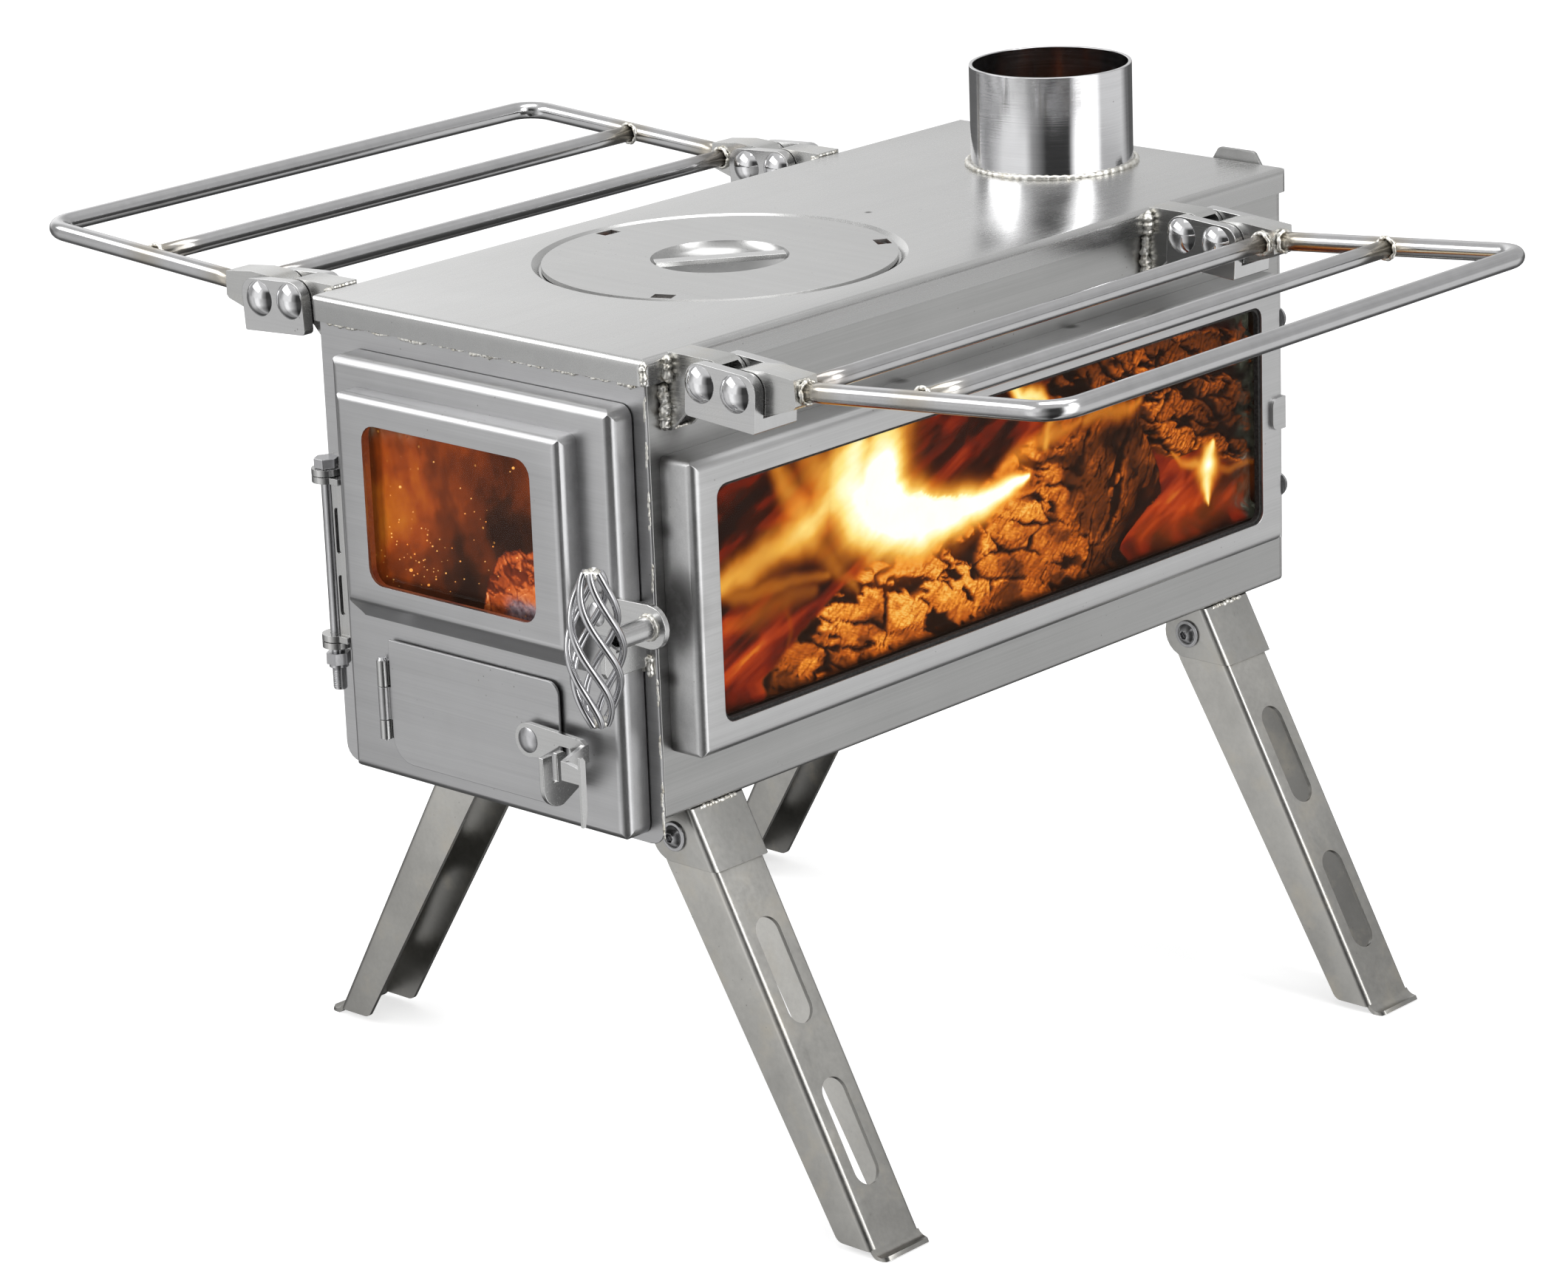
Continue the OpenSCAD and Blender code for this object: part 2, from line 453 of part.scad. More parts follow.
module door_window_gasket() color([0.07, 0.07, 0.07]) place() difference() {
  along_y(frame_front + t, frame_front + 5.5) polygon(rrect(-61, 82, 68.5, 170, 3, 3, 3, 3));
  along_y(frame_front, frame_front + 7) polygon(rrect(-50.6, 86.9, 57.1, 163.1, 8, 8, 8, 8));
}

module door_glass() color([0.3, 0.15, 0.1, 0.5]) place()
  along_y(frame_front + 5.5, frame_front + 9.5) polygon(rrect(-60, 82.5, 67.5, 169.5, 2, 2, 2, 2));

module door_rope_gasket() color([0.06, 0.06, 0.06]) place() difference() {
  along_y(door_front + 5, door_back + 0.3) polygon(rrect(door_x0 + t + 0.3, door_z0 + t + 0.3, door_x1 - t - 0.3, door_z1 - t - 0.3, 5, 5, 5, 5));
  along_y(door_front, door_back + 3) polygon(rrect(door_x0 + 9, door_z0 + 9, door_x1 - 9, door_z1 - 9, 3, 3, 3, 3));
}

// ---------- air flap ----------
flap_back = door_front - 1.2; flap_face = door_front - 2.7;
module air_flap() color([0.6, 0.6, 0.62]) place() difference() {
  union() {
    along_y(flap_face, flap_back) polygon(rrect(-50, 2, 57.5, 59.5, 12, 10, 6, 1));
    translate([flap_axis_x, flap_face, 21.4]) cube([5, 1.5, 15.6]);
    cyl_z(flap_axis_x, flap_axis_y, 21.4, 37, 2.75, 32);
  }
  cyl_z(flap_axis_x, flap_axis_y, 0, 60, 1.46, 24);
  cyl_y(latch_x, latch_z, door_front - 10, door_front, 2.5, 32);
}
module flap_hinge_knuckles() color([0.62, 0.62, 0.64]) place() difference() {
  for (z = [[12.2, 21.2], [37.2, 49.3]]) {
    cyl_z(flap_axis_x, flap_axis_y, z[0], z[1], 2.75, 32);
    translate([flap_axis_x - 3.5, door_front - 1.5, z[0]]) cube([7, 1.5, z[1] - z[0]]);
  }
  cyl_z(flap_axis_x, flap_axis_y, 0, 60, 1.45, 24);
}
module flap_hinge_pin() color([0.7, 0.7, 0.72]) place() {
  cyl_z(flap_axis_x, flap_axis_y, 11.4, 50.2, 1.4, 24);
  translate([flap_axis_x, flap_axis_y, 49.35]) cylinder(r1 = 2.6, r2 = 1.8, h = 1.4, $fn = 24);
}
module flap_latch_rivet() color([0.56, 0.56, 0.57]) place() {
  cyl_y(latch_x, latch_z, door_front - 7.9, door_front - 1.2, 2.45, 32);
  cyl_y(latch_x, latch_z, door_front - 5.25, flap_face, 5, 40);
  translate([latch_x, door_front - 7.85, latch_z]) dome_y(6, 1.8);
}
latch_back = door_front - 5.3; latch_face = door_front - 7.8;
module flap_latch() color([0.66, 0.66, 0.67]) place() translate([latch_x, 0, latch_z]) difference() {
  union() {
    along_y(latch_face, latch_back) polygon(concat(arc(0, 0, 8, 85, 290, 14), [[7, -6.8], [14, -2.4], [19.6, 1.2], [26, 1.2],
      [28.5, -3.8], [35.3, -3.8], [35.3, 4.4], [32.5, 6.4]]));
    along_x(32.8, 35.3) polygon([[latch_back, -3.8], [latch_back, 4.4], [latch_face, 4.4], [latch_face - 12.7, 0.4], [latch_face - 12.7, -8.4], [latch_face, -3.8]]);
    along_y(latch_face - 12.7, latch_face - 10.2) polygon([[33, -8.4], [43.4, -8.4], [43.4, -1.1], [35.3, 0.4], [33, 0.4]]);
    along_x(43.4, 44.9) polygon([[latch_face - 12.7, -28], [latch_face - 11, -28], [latch_face - 9.5, -20], [latch_face - 9.5, 2], [latch_face - 10.9, 4], [latch_face - 12.7, 4]]);
  }
  cyl_y(0, 0, -300, 0, 2.5, 32);
}
// fixed comb with two slots that the latch drops into
module flap_keeper() color([0.66, 0.66, 0.67]) place() along_x(64.4, 66.9) polygon(concat(
  [[door_front, 14], [door_front, 32.3], [door_front - 4.6, 32.3], [door_front - 4.6, 19.5], [door_front - 8.5, 19.5],
   [door_front - 8.5, 31], [door_front - 9.8, 32.3], [door_front - 14.2, 32.3], [door_front - 14.2, 19.5], [door_front - 16.9, 19.5],
   [door_front - 16.9, 32.3], [door_front - 23, 32.3]], arc(door_front - 13, 18, 10, 180, 280, 8)));

// ---------- door lever and handle ----------
module lever_pivot_rivet() color([0.6, 0.6, 0.62]) place() {
  cyl_y(lever_x, lever_z, door_front - 4.7, door_front, 3, 40);
  cyl_y(lever_x, lever_z, door_front - 1.5, door_front, 6, 40);
  translate([lever_x, door_front - 4.65, lever_z]) dome_y(5.5, 1.9);
}
module door_lever() color([0.7, 0.7, 0.68]) place() difference() {
  along_y(door_front - 4.6, door_front - 1.6) polygon(concat(arc(lever_x, lever_z, 9, 94, 266, 10), arc(stem_x, lever_z, 10, -88, 88, 12)));
  cyl_y(lever_x, lever_z, door_front - 20, door_front, 3.06, 40);
}
stem_y0 = door_front - 24.6;
module lever_stem() color([0.62, 0.62, 0.62]) place() difference() {
  cyl_y(stem_x, lever_z, stem_y0, door_front - 4.6, 5, 48);
  cyl_y(stem_x, lever_z, stem_y0 - 1, door_front - 9, 3.6, 48);
}

cage_y = -275.2; cage_h = 67; cage_n = 22; cage_sides = 8; wire_r = 1.65; cage_twist = 210;
function cage_r(s) = 3.5 + 8.3 * pow(sin(180 * s), 0.85);
function cage_p(s, a) = [cage_r(s) * cos(a + cage_twist * (1 - s)), cage_r(s) * sin(a + cage_twist * (1 - s)), cage_h * (s - 0.5)];
function unit(v) = v / norm(v);
function ring(s, a) = let (p = cage_p(s, a), d = unit(cage_p(min(1, s + 0.02), a) - cage_p(max(0, s - 0.02), a)),
  e = s < 0.001 || s > 0.999 ? [0, 0, 1] : d, u = unit(cross(e, [cos(a + cage_twist * (1 - s)), sin(a + cage_twist * (1 - s)), 0])), v = cross(e, u))
  [for (k = [0:cage_sides - 1]) p + wire_r * (cos(360 * k / cage_sides) * u + sin(360 * k / cage_sides) * v)];
module wire(a) polyhedron(
  points = [for (i = [0:cage_n]) each ring(i / cage_n, a)],
  faces = concat([for (k = [1:cage_sides - 2]) [0, k, k + 1]],
    [for (i = [0:cage_n - 1], k = [0:cage_sides - 1], h = [0, 1]) let (a0 = i * cage_sides + k, a1 = a0 + cage_sides,
      b0 = i * cage_sides + (k + 1) % cage_sides, b1 = b0 + cage_sides) h == 0 ? [a0, a1, b1] : [a0, b1, b0]],
    [for (k = [1:cage_sides - 2]) [cage_n * cage_sides, cage_n * cage_sides + k + 1, cage_n * cage_sides + k]]), convexity = 4);
module handle_cage() color([0.85, 0.85, 0.87]) place() translate([stem_x + 1.4, cage_y, lever_z - 0.5]) for (k = [0:5]) wire(60 * k);

// ---------- cooking lid ----------
lid_z = body_h - 2.6;
bowl_r = bowl_d / 2;
module hotplate_lid() color([0.7, 0.7, 0.7]) place() translate([0, -lid_front, 0]) {
  difference() {
  rotate_extrude($fn = 96) polygon(concat([[0, body_h - bowl_depth - 2]],
    [for (i = [0:6]) [bowl_r * sin(15 * i), body_h - 2 - bowl_depth * cos(15 * i) - (i == 6 ? 0.4 : 0)]],
    [[lid_d / 2, body_h - 2.4], [lid_d / 2, body_h - 0.2]],
    [for (i = [6:-1:0]) [max(0, bowl_r * sin(15 * i) - (i == 6 ? 0 : 0.2)), body_h - 0.2 - bowl_depth * cos(15 * i)]]));
  for (a = [-66, 56, 176]) rotate([0, 0, a]) translate([73.5, -5, body_h - 5]) cube([6.8, 10, 10]);
  }
  // three tabs bent down inside the hole that keep the lid centred
  for (a = [-66, 56, 176]) rotate([0, 0, a]) translate([72, -4.8, body_h - 8]) cube([1.5, 9.6, 7.2]);
}
module lid_grip_bar() color([0.74, 0.74, 0.74]) place() translate([0, -lid_front, body_h - 2.6]) rotate([0, 0, 52])
  intersection() {
    translate([-40, -4, 0]) cube([80, 8, 2.4]);
    cylinder(r = bowl_r - 1.5, h = 5, $fn = 64);
  }

firebox_shell();
front_plate();
rear_plate();
top_plate();
flue_collar();
flue_weld_bead();
weld_beads();
side_window_frame();
side_window_gasket();
side_window_glass();
side_glass_rails();
side_glass_end_cap();
end_cap_screws();
shelf_hinge_tabs();
leg_sleeves();
leg_pivot_bolts();
leg_pivot_nuts();
door_hinge_bracket();
hinge_bolt();
hinge_nut();
door_catch();
rear_tabs();
fire_grate();
door_panel();
door_window_frame();
door_window_gasket();
door_glass();
door_rope_gasket();
door_hinge_leaf();
flap_keeper();
flap_hinge_knuckles();
flap_hinge_pin();
lever_pivot_rivet();
air_flap();
flap_latch_rivet();
flap_latch();
door_lever();
lever_stem();
handle_cage();
hotplate_lid();
lid_grip_bar();
right_shelf_frame();
right_shelf_cross_rods();
right_shelf_lugs();
left_shelf_frame();
left_shelf_cross_rods();
left_shelf_lugs();
right_front_link();
right_rear_link();
left_front_link();
left_rear_link();
right_front_rivets();
right_rear_rivets();
left_front_rivets();
left_rear_rivets();
leg_front_right();
leg_rear_right();
leg_front_left();
leg_rear_left();
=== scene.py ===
import bpy, bmesh, json, math, random
import numpy as np
from mathutils import Vector, Matrix, noise


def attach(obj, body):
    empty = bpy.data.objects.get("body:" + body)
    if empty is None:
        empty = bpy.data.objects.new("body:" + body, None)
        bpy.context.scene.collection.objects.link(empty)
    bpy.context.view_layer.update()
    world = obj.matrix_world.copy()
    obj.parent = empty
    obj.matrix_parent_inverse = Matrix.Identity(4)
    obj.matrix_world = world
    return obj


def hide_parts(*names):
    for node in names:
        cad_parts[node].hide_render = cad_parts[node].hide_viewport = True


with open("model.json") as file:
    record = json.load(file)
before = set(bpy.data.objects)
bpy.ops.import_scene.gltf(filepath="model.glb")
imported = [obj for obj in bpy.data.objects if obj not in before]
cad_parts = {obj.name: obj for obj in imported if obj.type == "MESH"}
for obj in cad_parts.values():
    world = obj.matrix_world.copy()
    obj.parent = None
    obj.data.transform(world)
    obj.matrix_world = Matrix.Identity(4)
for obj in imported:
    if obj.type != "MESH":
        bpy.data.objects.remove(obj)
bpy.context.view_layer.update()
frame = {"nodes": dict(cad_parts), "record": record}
NODES = frame["nodes"]


rnd = random.Random(7)

# the model's frame: the middle of the firebox floor sits here, in millimetres
OY, OZ = 30.5, 188.5
L2, W2, BODY_H = 222.0, 101.5, 208.5


def W(x, y, z):
    return Vector((x / 1000.0, (y + OY) / 1000.0, (z + OZ) / 1000.0))


BODY_OF = {}
for _b, _ns in frame["record"]["behaviour"]["bodies"].items():
    for _n in _ns:
        BODY_OF[_n] = _b


# ------------------------------------------------------------------ node helpers
class Tree:
    def __init__(self, name):
        self.mat = bpy.data.materials.new(name)
        self.mat.use_nodes = True
        self.nt = self.mat.node_tree
        self.bsdf = self.nt.nodes["Principled BSDF"]
        self.out = self.nt.nodes["Material Output"]
        tc = self.nt.nodes.new("ShaderNodeTexCoord")
        self.obj = tc.outputs["Object"]
        self.uv = tc.outputs["UV"]

    def put(self, sock, v):
        if hasattr(v, "is_output") or isinstance(v, bpy.types.NodeSocket):
            self.nt.links.new(v, sock)
        else:
            if isinstance(v, (tuple, list)) and len(v) == 3 and getattr(sock, "type", "") == "RGBA":
                v = (*v, 1.0)
            sock.default_value = v

    def set(self, name, v):
        self.put(self.bsdf.inputs[name], v)

    def mapped(self, vec, scale=(1, 1, 1), rot=(0, 0, 0), loc=(0, 0, 0)):
        n = self.nt.nodes.new("ShaderNodeMapping")
        self.put(n.inputs["Vector"], vec)
        n.inputs["Scale"].default_value = scale
        n.inputs["Rotation"].default_value = rot
        n.inputs["Location"].default_value = loc
        return n.outputs["Vector"]

    def noise(self, vec, scale, detail=3.0, rough=0.55, dist=0.0, out="Fac"):
        n = self.nt.nodes.new("ShaderNodeTexNoise")
        self.put(n.inputs["Vector"], vec)
        n.inputs["Scale"].default_value = scale
        n.inputs["Detail"].default_value = detail
        n.inputs["Roughness"].default_value = rough
        n.inputs["Distortion"].default_value = dist
        return n.outputs[out]

    def voro(self, vec, scale, feature="DISTANCE_TO_EDGE", rnd_=1.0, out="Distance"):
        n = self.nt.nodes.new("ShaderNodeTexVoronoi")
        n.feature = feature
        self.put(n.inputs["Vector"], vec)
        n.inputs["Scale"].default_value = scale
        n.inputs["Randomness"].default_value = rnd_
        return n.outputs[out]

    def rng(self, v, a, b, c=0.0, d=1.0, smooth=False):
        n = self.nt.nodes.new("ShaderNodeMapRange")
        if smooth:
            n.interpolation_type = "SMOOTHSTEP"
        self.put(n.inputs["Value"], v)
        for k, x in zip(("From Min", "From Max", "To Min", "To Max"), (a, b, c, d)):
            self.put(n.inputs[k], x)
        return n.outputs["Result"]

    def math(self, op, a, b=None, c=None, clamp=False):
        n = self.nt.nodes.new("ShaderNodeMath")
        n.operation = op
        n.use_clamp = clamp
        self.put(n.inputs[0], a)
        if b is not None:
            self.put(n.inputs[1], b)
        if c is not None:
            self.put(n.inputs[2], c)
        return n.outputs[0]

    def vmath(self, op, a, b=None, out=0):
        n = self.nt.nodes.new("ShaderNodeVectorMath")
        n.operation = op
        self.put(n.inputs[0], a)
        if b is not None:
            self.put(n.inputs[1], b)
        return n.outputs[out]

    def mix(self, f, a, b, blend="MIX"):
        n = self.nt.nodes.new("ShaderNodeMix")
        n.data_type = "RGBA"
        n.blend_type = blend
        self.put(n.inputs[0], f)
        self.put(n.inputs[6], a)
        self.put(n.inputs[7], b)
        return n.outputs[2]

    def ramp(self, f, stops, interp="LINEAR"):
        n = self.nt.nodes.new("ShaderNodeValToRGB")
        n.color_ramp.interpolation = interp
        e = n.color_ramp.elements
        while len(e) < len(stops):
            e.new(0.5)
        for i, (p, c) in enumerate(stops):
            e[i].position = p
            e[i].color = (*c, 1.0) if len(c) == 3 else c
        self.put(n.inputs[0], f)
        return n.outputs[0]

    def bump(self, h, strength=0.3, dist=0.001, normal=None):
        n = self.nt.nodes.new("ShaderNodeBump")
        n.inputs["Strength"].default_value = strength
        n.inputs["Distance"].default_value = dist
        self.put(n.inputs["Height"], h)
        if normal is not None:
            self.put(n.inputs["Normal"], normal)
        return n.outputs["Normal"]

    def sep(self, v):
        n = self.nt.nodes.new("ShaderNodeSeparateXYZ")
        self.put(n.inputs[0], v)
        return n.outputs

    def spot(self, p, r0, r1, squash=(1, 1, 1)):
        """1 within r0 of p (mm, body frame), 0 beyond r1"""
        q = W(*p)
        d = self.vmath("SUBTRACT", self.obj, tuple(q))
        if squash != (1, 1, 1):
            d = self.vmath("MULTIPLY", d, tuple(squash))
        ln = self.vmath("LENGTH", d, out=1)
        return self.rng(ln, r0 / 1000.0, r1 / 1000.0, 1.0, 0.0, smooth=True)


# ------------------------------------------------------------------ steel
def steel(name, streak="y", base=(0.46, 0.46, 0.455), rough=0.30, grain=1.0, blotch=0.10, wave=0.35,
          colour_spots=(), warm=0.0, speck=0.5, painted_shade_low=None, painted_channel_light_shade=()):
    t = Tree(name)
    sc = {"y": (1400, 9, 1400), "x": (9, 1400, 1400), "z": (1400, 1400, 9), "ring": (30, 30, 1500), "iso": (420, 420, 420)}[streak]
    sv = t.mapped(t.obj, sc)
    fine = t.noise(sv, 1.0, 4.0, 0.6)
    sc2 = tuple(c / 7.0 for c in sc)
    mid = t.noise(t.mapped(t.obj, sc2, loc=(3, 1, 2)), 1.0, 3.0, 0.55)
    big = t.noise(t.mapped(t.obj, loc=(0.3, 0.2, 0.5)), 13.0, 4.0, 0.6)
    cloud = t.noise(t.mapped(t.obj, (1, 1, 1), loc=(2, 7, 1)), 46.0, 5.0, 0.65)
    k = t.math("ADD", t.math("MULTIPLY", t.math("SUBTRACT", fine, 0.5), 0.30 * grain),
               t.math("MULTIPLY", t.math("SUBTRACT", mid, 0.5), 0.22 * grain))
    k = t.math("ADD", k, t.math("MULTIPLY", t.math("SUBTRACT", big, 0.5), blotch * 1.6))
    k = t.math("ADD", k, t.math("MULTIPLY", t.math("SUBTRACT", cloud, 0.5), blotch * 0.9))
    val = t.math("ADD", k, 1.0)
    for yy, fac in painted_channel_light_shade:
        # painted light and shade on the face inside a folded channel that looks towards -Y: each entry scales its
        # brightness by fac
        ny = t.sep(t.nt.nodes.new("ShaderNodeNewGeometry").outputs["Normal"])[1]
        d_ = t.math("ABSOLUTE", t.math("SUBTRACT", t.sep(t.obj)[1], (yy + OY) / 1000.0))
        m_ = t.math("MULTIPLY", t.rng(ny, -0.9, -0.7, 1.0, 0.0), t.rng(d_, 0.0010, 0.0013, 1.0, 0.0))
        val = t.math("MULTIPLY", val, t.math("ADD", 1.0, t.math("MULTIPLY", m_, fac - 1.0)))
    # painted shade: darker towards the bottom, by fac at z0 rising to full brightness at z1
    if painted_shade_low:
        z0, z1, fac = painted_shade_low
        val = t.math("MULTIPLY", val, t.rng(t.sep(t.obj)[2], (z0 + OZ) / 1000.0, (z1 + OZ) / 1000.0, fac, 1.0, smooth=True))
    n = t.nt.nodes.new("ShaderNodeVectorMath")
    n.operation = "SCALE"
    n.inputs[0].default_value = base
    t.put(n.inputs["Scale"], val)
    col = n.outputs[0]
    if warm:
        wmask = t.rng(cloud, 0.52, 0.75, 0.0, warm)
        col = t.mix(wmask, col, (base[0] * 0.93, base[1] * 0.84, base[2] * 0.68, 1))
    if speck:
        v = t.voro(t.obj, 210.0, "F1")
        msk = t.math("MULTIPLY", t.rng(v, 0.05, 0.10, 1.0, 0.0), t.rng(t.noise(t.obj, 24.0, 2.0), 0.56, 0.64))
        col = t.mix(t.math("MULTIPLY", msk, speck), col, (0.10, 0.085, 0.07, 1))
    r = t.math("ADD", rough, t.math("MULTIPLY", t.math("SUBTRACT", fine, 0.5), 0.16))
    r = t.math("ADD", r, t.math("MULTIPLY", t.math("SUBTRACT", cloud, 0.5), 0.14))
    for (p, r0, r1, sq, colour, amt) in colour_spots:
        m = t.spot(p, r0, r1, sq)
        m = t.math("MULTIPLY", m, t.rng(cloud, 0.22, 0.52, 0.45, 1.0))
        m = t.math("MULTIPLY", m, amt, clamp=True)
        col = t.mix(m, col, (*colour, 1))
        r = t.math("ADD", r, t.math("MULTIPLY", m, 0.18))
    t.set("Base Color", col)
    t.set("Metallic", 1.0)
    t.set("Roughness", t.math("MAXIMUM", r, 0.05))
    nrm = t.bump(t.noise(t.mapped(t.obj, loc=(5, 5, 5)), 16.0, 2.0, 0.5), wave, 0.0012)
    nrm = t.bump(t.math("ADD", fine, t.math("MULTIPLY", mid, 0.8)), 0.22 * grain, 0.00012, nrm)
    t.set("Normal", nrm)
    return t.mat


def shiny(name, base=(0.60, 0.60, 0.605), rough=0.16, wave=0.2, colour_spots=(), streak=None):
    t = Tree(name)
    cloud = t.noise(t.mapped(t.obj, loc=(1, 3, 2)), 90.0, 4.0, 0.6)
    fine = t.noise(t.mapped(t.obj, {None: (800, 800, 800), "y": (2200, 14, 2200), "x": (14, 2200, 2200)}[streak]), 1.0, 2.0)
    val = t.math("ADD", 1.0, t.math("ADD", t.math("MULTIPLY", t.math("SUBTRACT", cloud, 0.5), 0.22),
                                    t.math("MULTIPLY", t.math("SUBTRACT", fine, 0.5), 0.16)))
    n = t.nt.nodes.new("ShaderNodeVectorMath")
    n.operation = "SCALE"
    n.inputs[0].default_value = base
    t.put(n.inputs["Scale"], val)
    col = n.outputs[0]
    r = t.math("ADD", rough, t.math("MULTIPLY", t.math("SUBTRACT", cloud, 0.5), 0.14))
    for (p, r0, r1, sq, colour, amt) in colour_spots:
        m = t.math("MULTIPLY", t.spot(p, r0, r1, sq), t.rng(cloud, 0.3, 0.55, 0.5, 1.0))
        m = t.math("MULTIPLY", m, amt, clamp=True)
        col = t.mix(m, col, (*colour, 1))
        r = t.math("ADD", r, t.math("MULTIPLY", m, 0.15))
    t.set("Base Color", col)
    t.set("Metallic", 1.0)
    t.set("Roughness", t.math("MAXIMUM", r, 0.04))
    t.set("Normal", t.bump(cloud, wave, 0.0003))
    return t.mat


BROWN = (0.16, 0.115, 0.07)
BURNT_AND_SHADE = (0.045, 0.04, 0.038)
STRAW = (0.36, 0.30, 0.19)

M = {}
# painted shade on the top plate: darker down its turned-down lip, and a dark spot at the lid's front notch standing in
# for the dark firebox seen through it
M["top"] = steel("top_steel", "y", (0.59, 0.59, 0.585), 0.27, 0.4, 0.05, 0.18, painted_shade_low=(203.0, 208.8, 0.78), colour_spots=[
    ((-1.6, 38.7, 208.5), 0.8, 2.4, (1, 1, 1), BURNT_AND_SHADE, 0.9)])
M["side"] = steel("side_steel", "y", (0.41, 0.41, 0.405), 0.34, 1.0, 0.10, 0.35, colour_spots=[
    ((101.5, -206, 178), 2, 12, (1, 1, 0.7), BURNT_AND_SHADE, 0.6), ((101.5, 118, 180), 2, 9, (1, 1, 0.8), BURNT_AND_SHADE, 0.5)])
M["front"] = steel("front_steel", "x", (0.50, 0.50, 0.505), 0.36, 0.8, 0.09, 0.35)
M["frame"] = steel("window_frame_steel", "y", (0.54, 0.54, 0.54), 0.36, 1.0, 0.10, 0.3, colour_spots=[
    ((108, -215, 96), 5, 17, (1, 1, 0.62), BURNT_AND_SHADE, 0.75),
    ((103, -214, 131), 1, 7, (1, 1, 1), BURNT_AND_SHADE, 0.8), ((103, -214, 64), 1, 7, (1, 1, 1), BURNT_AND_SHADE, 0.8),
    ((103, -214, 33), 1, 8, (1, 1, 1), BURNT_AND_SHADE, 0.8), ((103, -214, 163), 1, 8, (1, 1, 1), BURNT_AND_SHADE, 0.8),
    ((103, -60, 165), 2, 6, (1, 1, 1), BURNT_AND_SHADE, 0.85), ((103, 60, 165), 2, 6, (1, 1, 1), BURNT_AND_SHADE, 0.85)])
# painted shade: the legs darker towards their feet; painted light and shade on the faces inside their channels, lighter
# in one front leg and darker in the others
M["leg"] = steel("leg_steel", "iso", (0.58, 0.57, 0.54), 0.33, 0.8, 0.30, 0.8, painted_shade_low=(-186.0, 10.0, 0.62), painted_channel_light_shade=((-173, 1.35), (191.5, 0.52), (-115, 0.6), (153, 0.5)), warm=0.35)
M["sleeve"] = steel("sleeve_steel", "iso", (0.46, 0.455, 0.435), 0.32, 0.7, 0.16, 0.5, warm=0.35)
M["link"] = steel("link_steel", "x", (0.60, 0.60, 0.60), 0.24, 0.5, 0.10, 0.40, warm=0.1)
M["lug"] = steel("lug_steel", "x", (0.57, 0.57, 0.56), 0.26, 0.5, 0.12, 0.5, warm=0.35)
M["flue"] = steel("flue_steel", "ring", (0.66, 0.66, 0.67), 0.10, 0.6, 0.08, 0.05)
M["plate"] = steel("plate_steel", "x", (0.60, 0.60, 0.595), 0.25, 0.5, 0.08, 0.3)
# painted shade: the lid darker below its top face, in its sunken bowl
M["lid"] = steel("lid_steel", "x", (0.54, 0.54, 0.535), 0.30, 0.6, 0.06, 0.25, painted_shade_low=(197.0, 209.0, 0.42))
M["hinge"] = steel("hinge_steel", "z", (0.52, 0.52, 0.515), 0.27, 0.7, 0.14, 0.4, warm=0.2)
M["rivet"] = shiny("polished_rivet", (0.74, 0.74, 0.75), 0.09, 0.10)
M["bolt"] = shiny("bolt_steel", (0.48, 0.48, 0.49), 0.22, 0.3)
M["rod"] = shiny("rod_steel", (0.62, 0.62, 0.625), 0.17, 0.15, streak="y")
M["cage"] = shiny("cage_wire", (0.53, 0.53, 0.545), 0.07, 0.1)


def weld_material():
    t = Tree("weld_metal_look")
    c = t.noise(t.obj, 260.0, 4.0, 0.6)
    f = t.noise(t.obj, 900.0, 3.0, 0.6)
    col = t.ramp(c, [(0.25, (0.42, 0.38, 0.30)), (0.45, (0.78, 0.76, 0.70)), (0.75, (0.93, 0.93, 0.91))])
    t.set("Base Color", col)
    t.set("Metallic", 1.0)
    t.set("Roughness", t.rng(c, 0.2, 0.8, 0.24, 0.50))
    t.set("Normal", t.bump(f, 0.5, 0.0004))
    return t.mat


M["weld"] = weld_material()


def gasket_material(name="braided_gasket", lit=0.0):
    t = Tree(name)
    w = t.noise(t.mapped(t.obj, (700, 700, 700), rot=(0.6, 0.5, 0.4)), 1.0, 2.0)
    t.set("Base Color", t.ramp(w, [(0.3, (0.006, 0.006, 0.006)), (0.7, (0.03, 0.028, 0.026))]))
    t.set("Roughness", 0.9)
    t.set("Normal", t.bump(w, 0.8, 0.0006))
    # painted light: with lit set, the gasket glows with firelight painted into it as emission
    if lit:
        t.set("Emission Color", t.ramp(t.noise(t.obj, 60.0, 3.0, 0.6), [(0.3, (0.16, 0.020, 0.004)), (0.7, (0.42, 0.085, 0.010))]))
        t.set("Emission Strength", lit)
    return t.mat


M["gasket"] = gasket_material()
M["gasket_lit"] = gasket_material("window_tape_painted_firelight", 0.55)


def iron_material():
    t = Tree("sooty_iron")
    w = t.noise(t.obj, 120.0, 5.0, 0.65)
    t.set("Base Color", t.ramp(w, [(0.3, (0.012, 0.011, 0.010)), (0.7, (0.06, 0.05, 0.042))]))
    t.set("Metallic", 0.6)
    t.set("Roughness", 0.75)
    t.set("Normal", t.bump(w, 0.6, 0.0008))
    return t.mat


M["iron"] = iron_material()


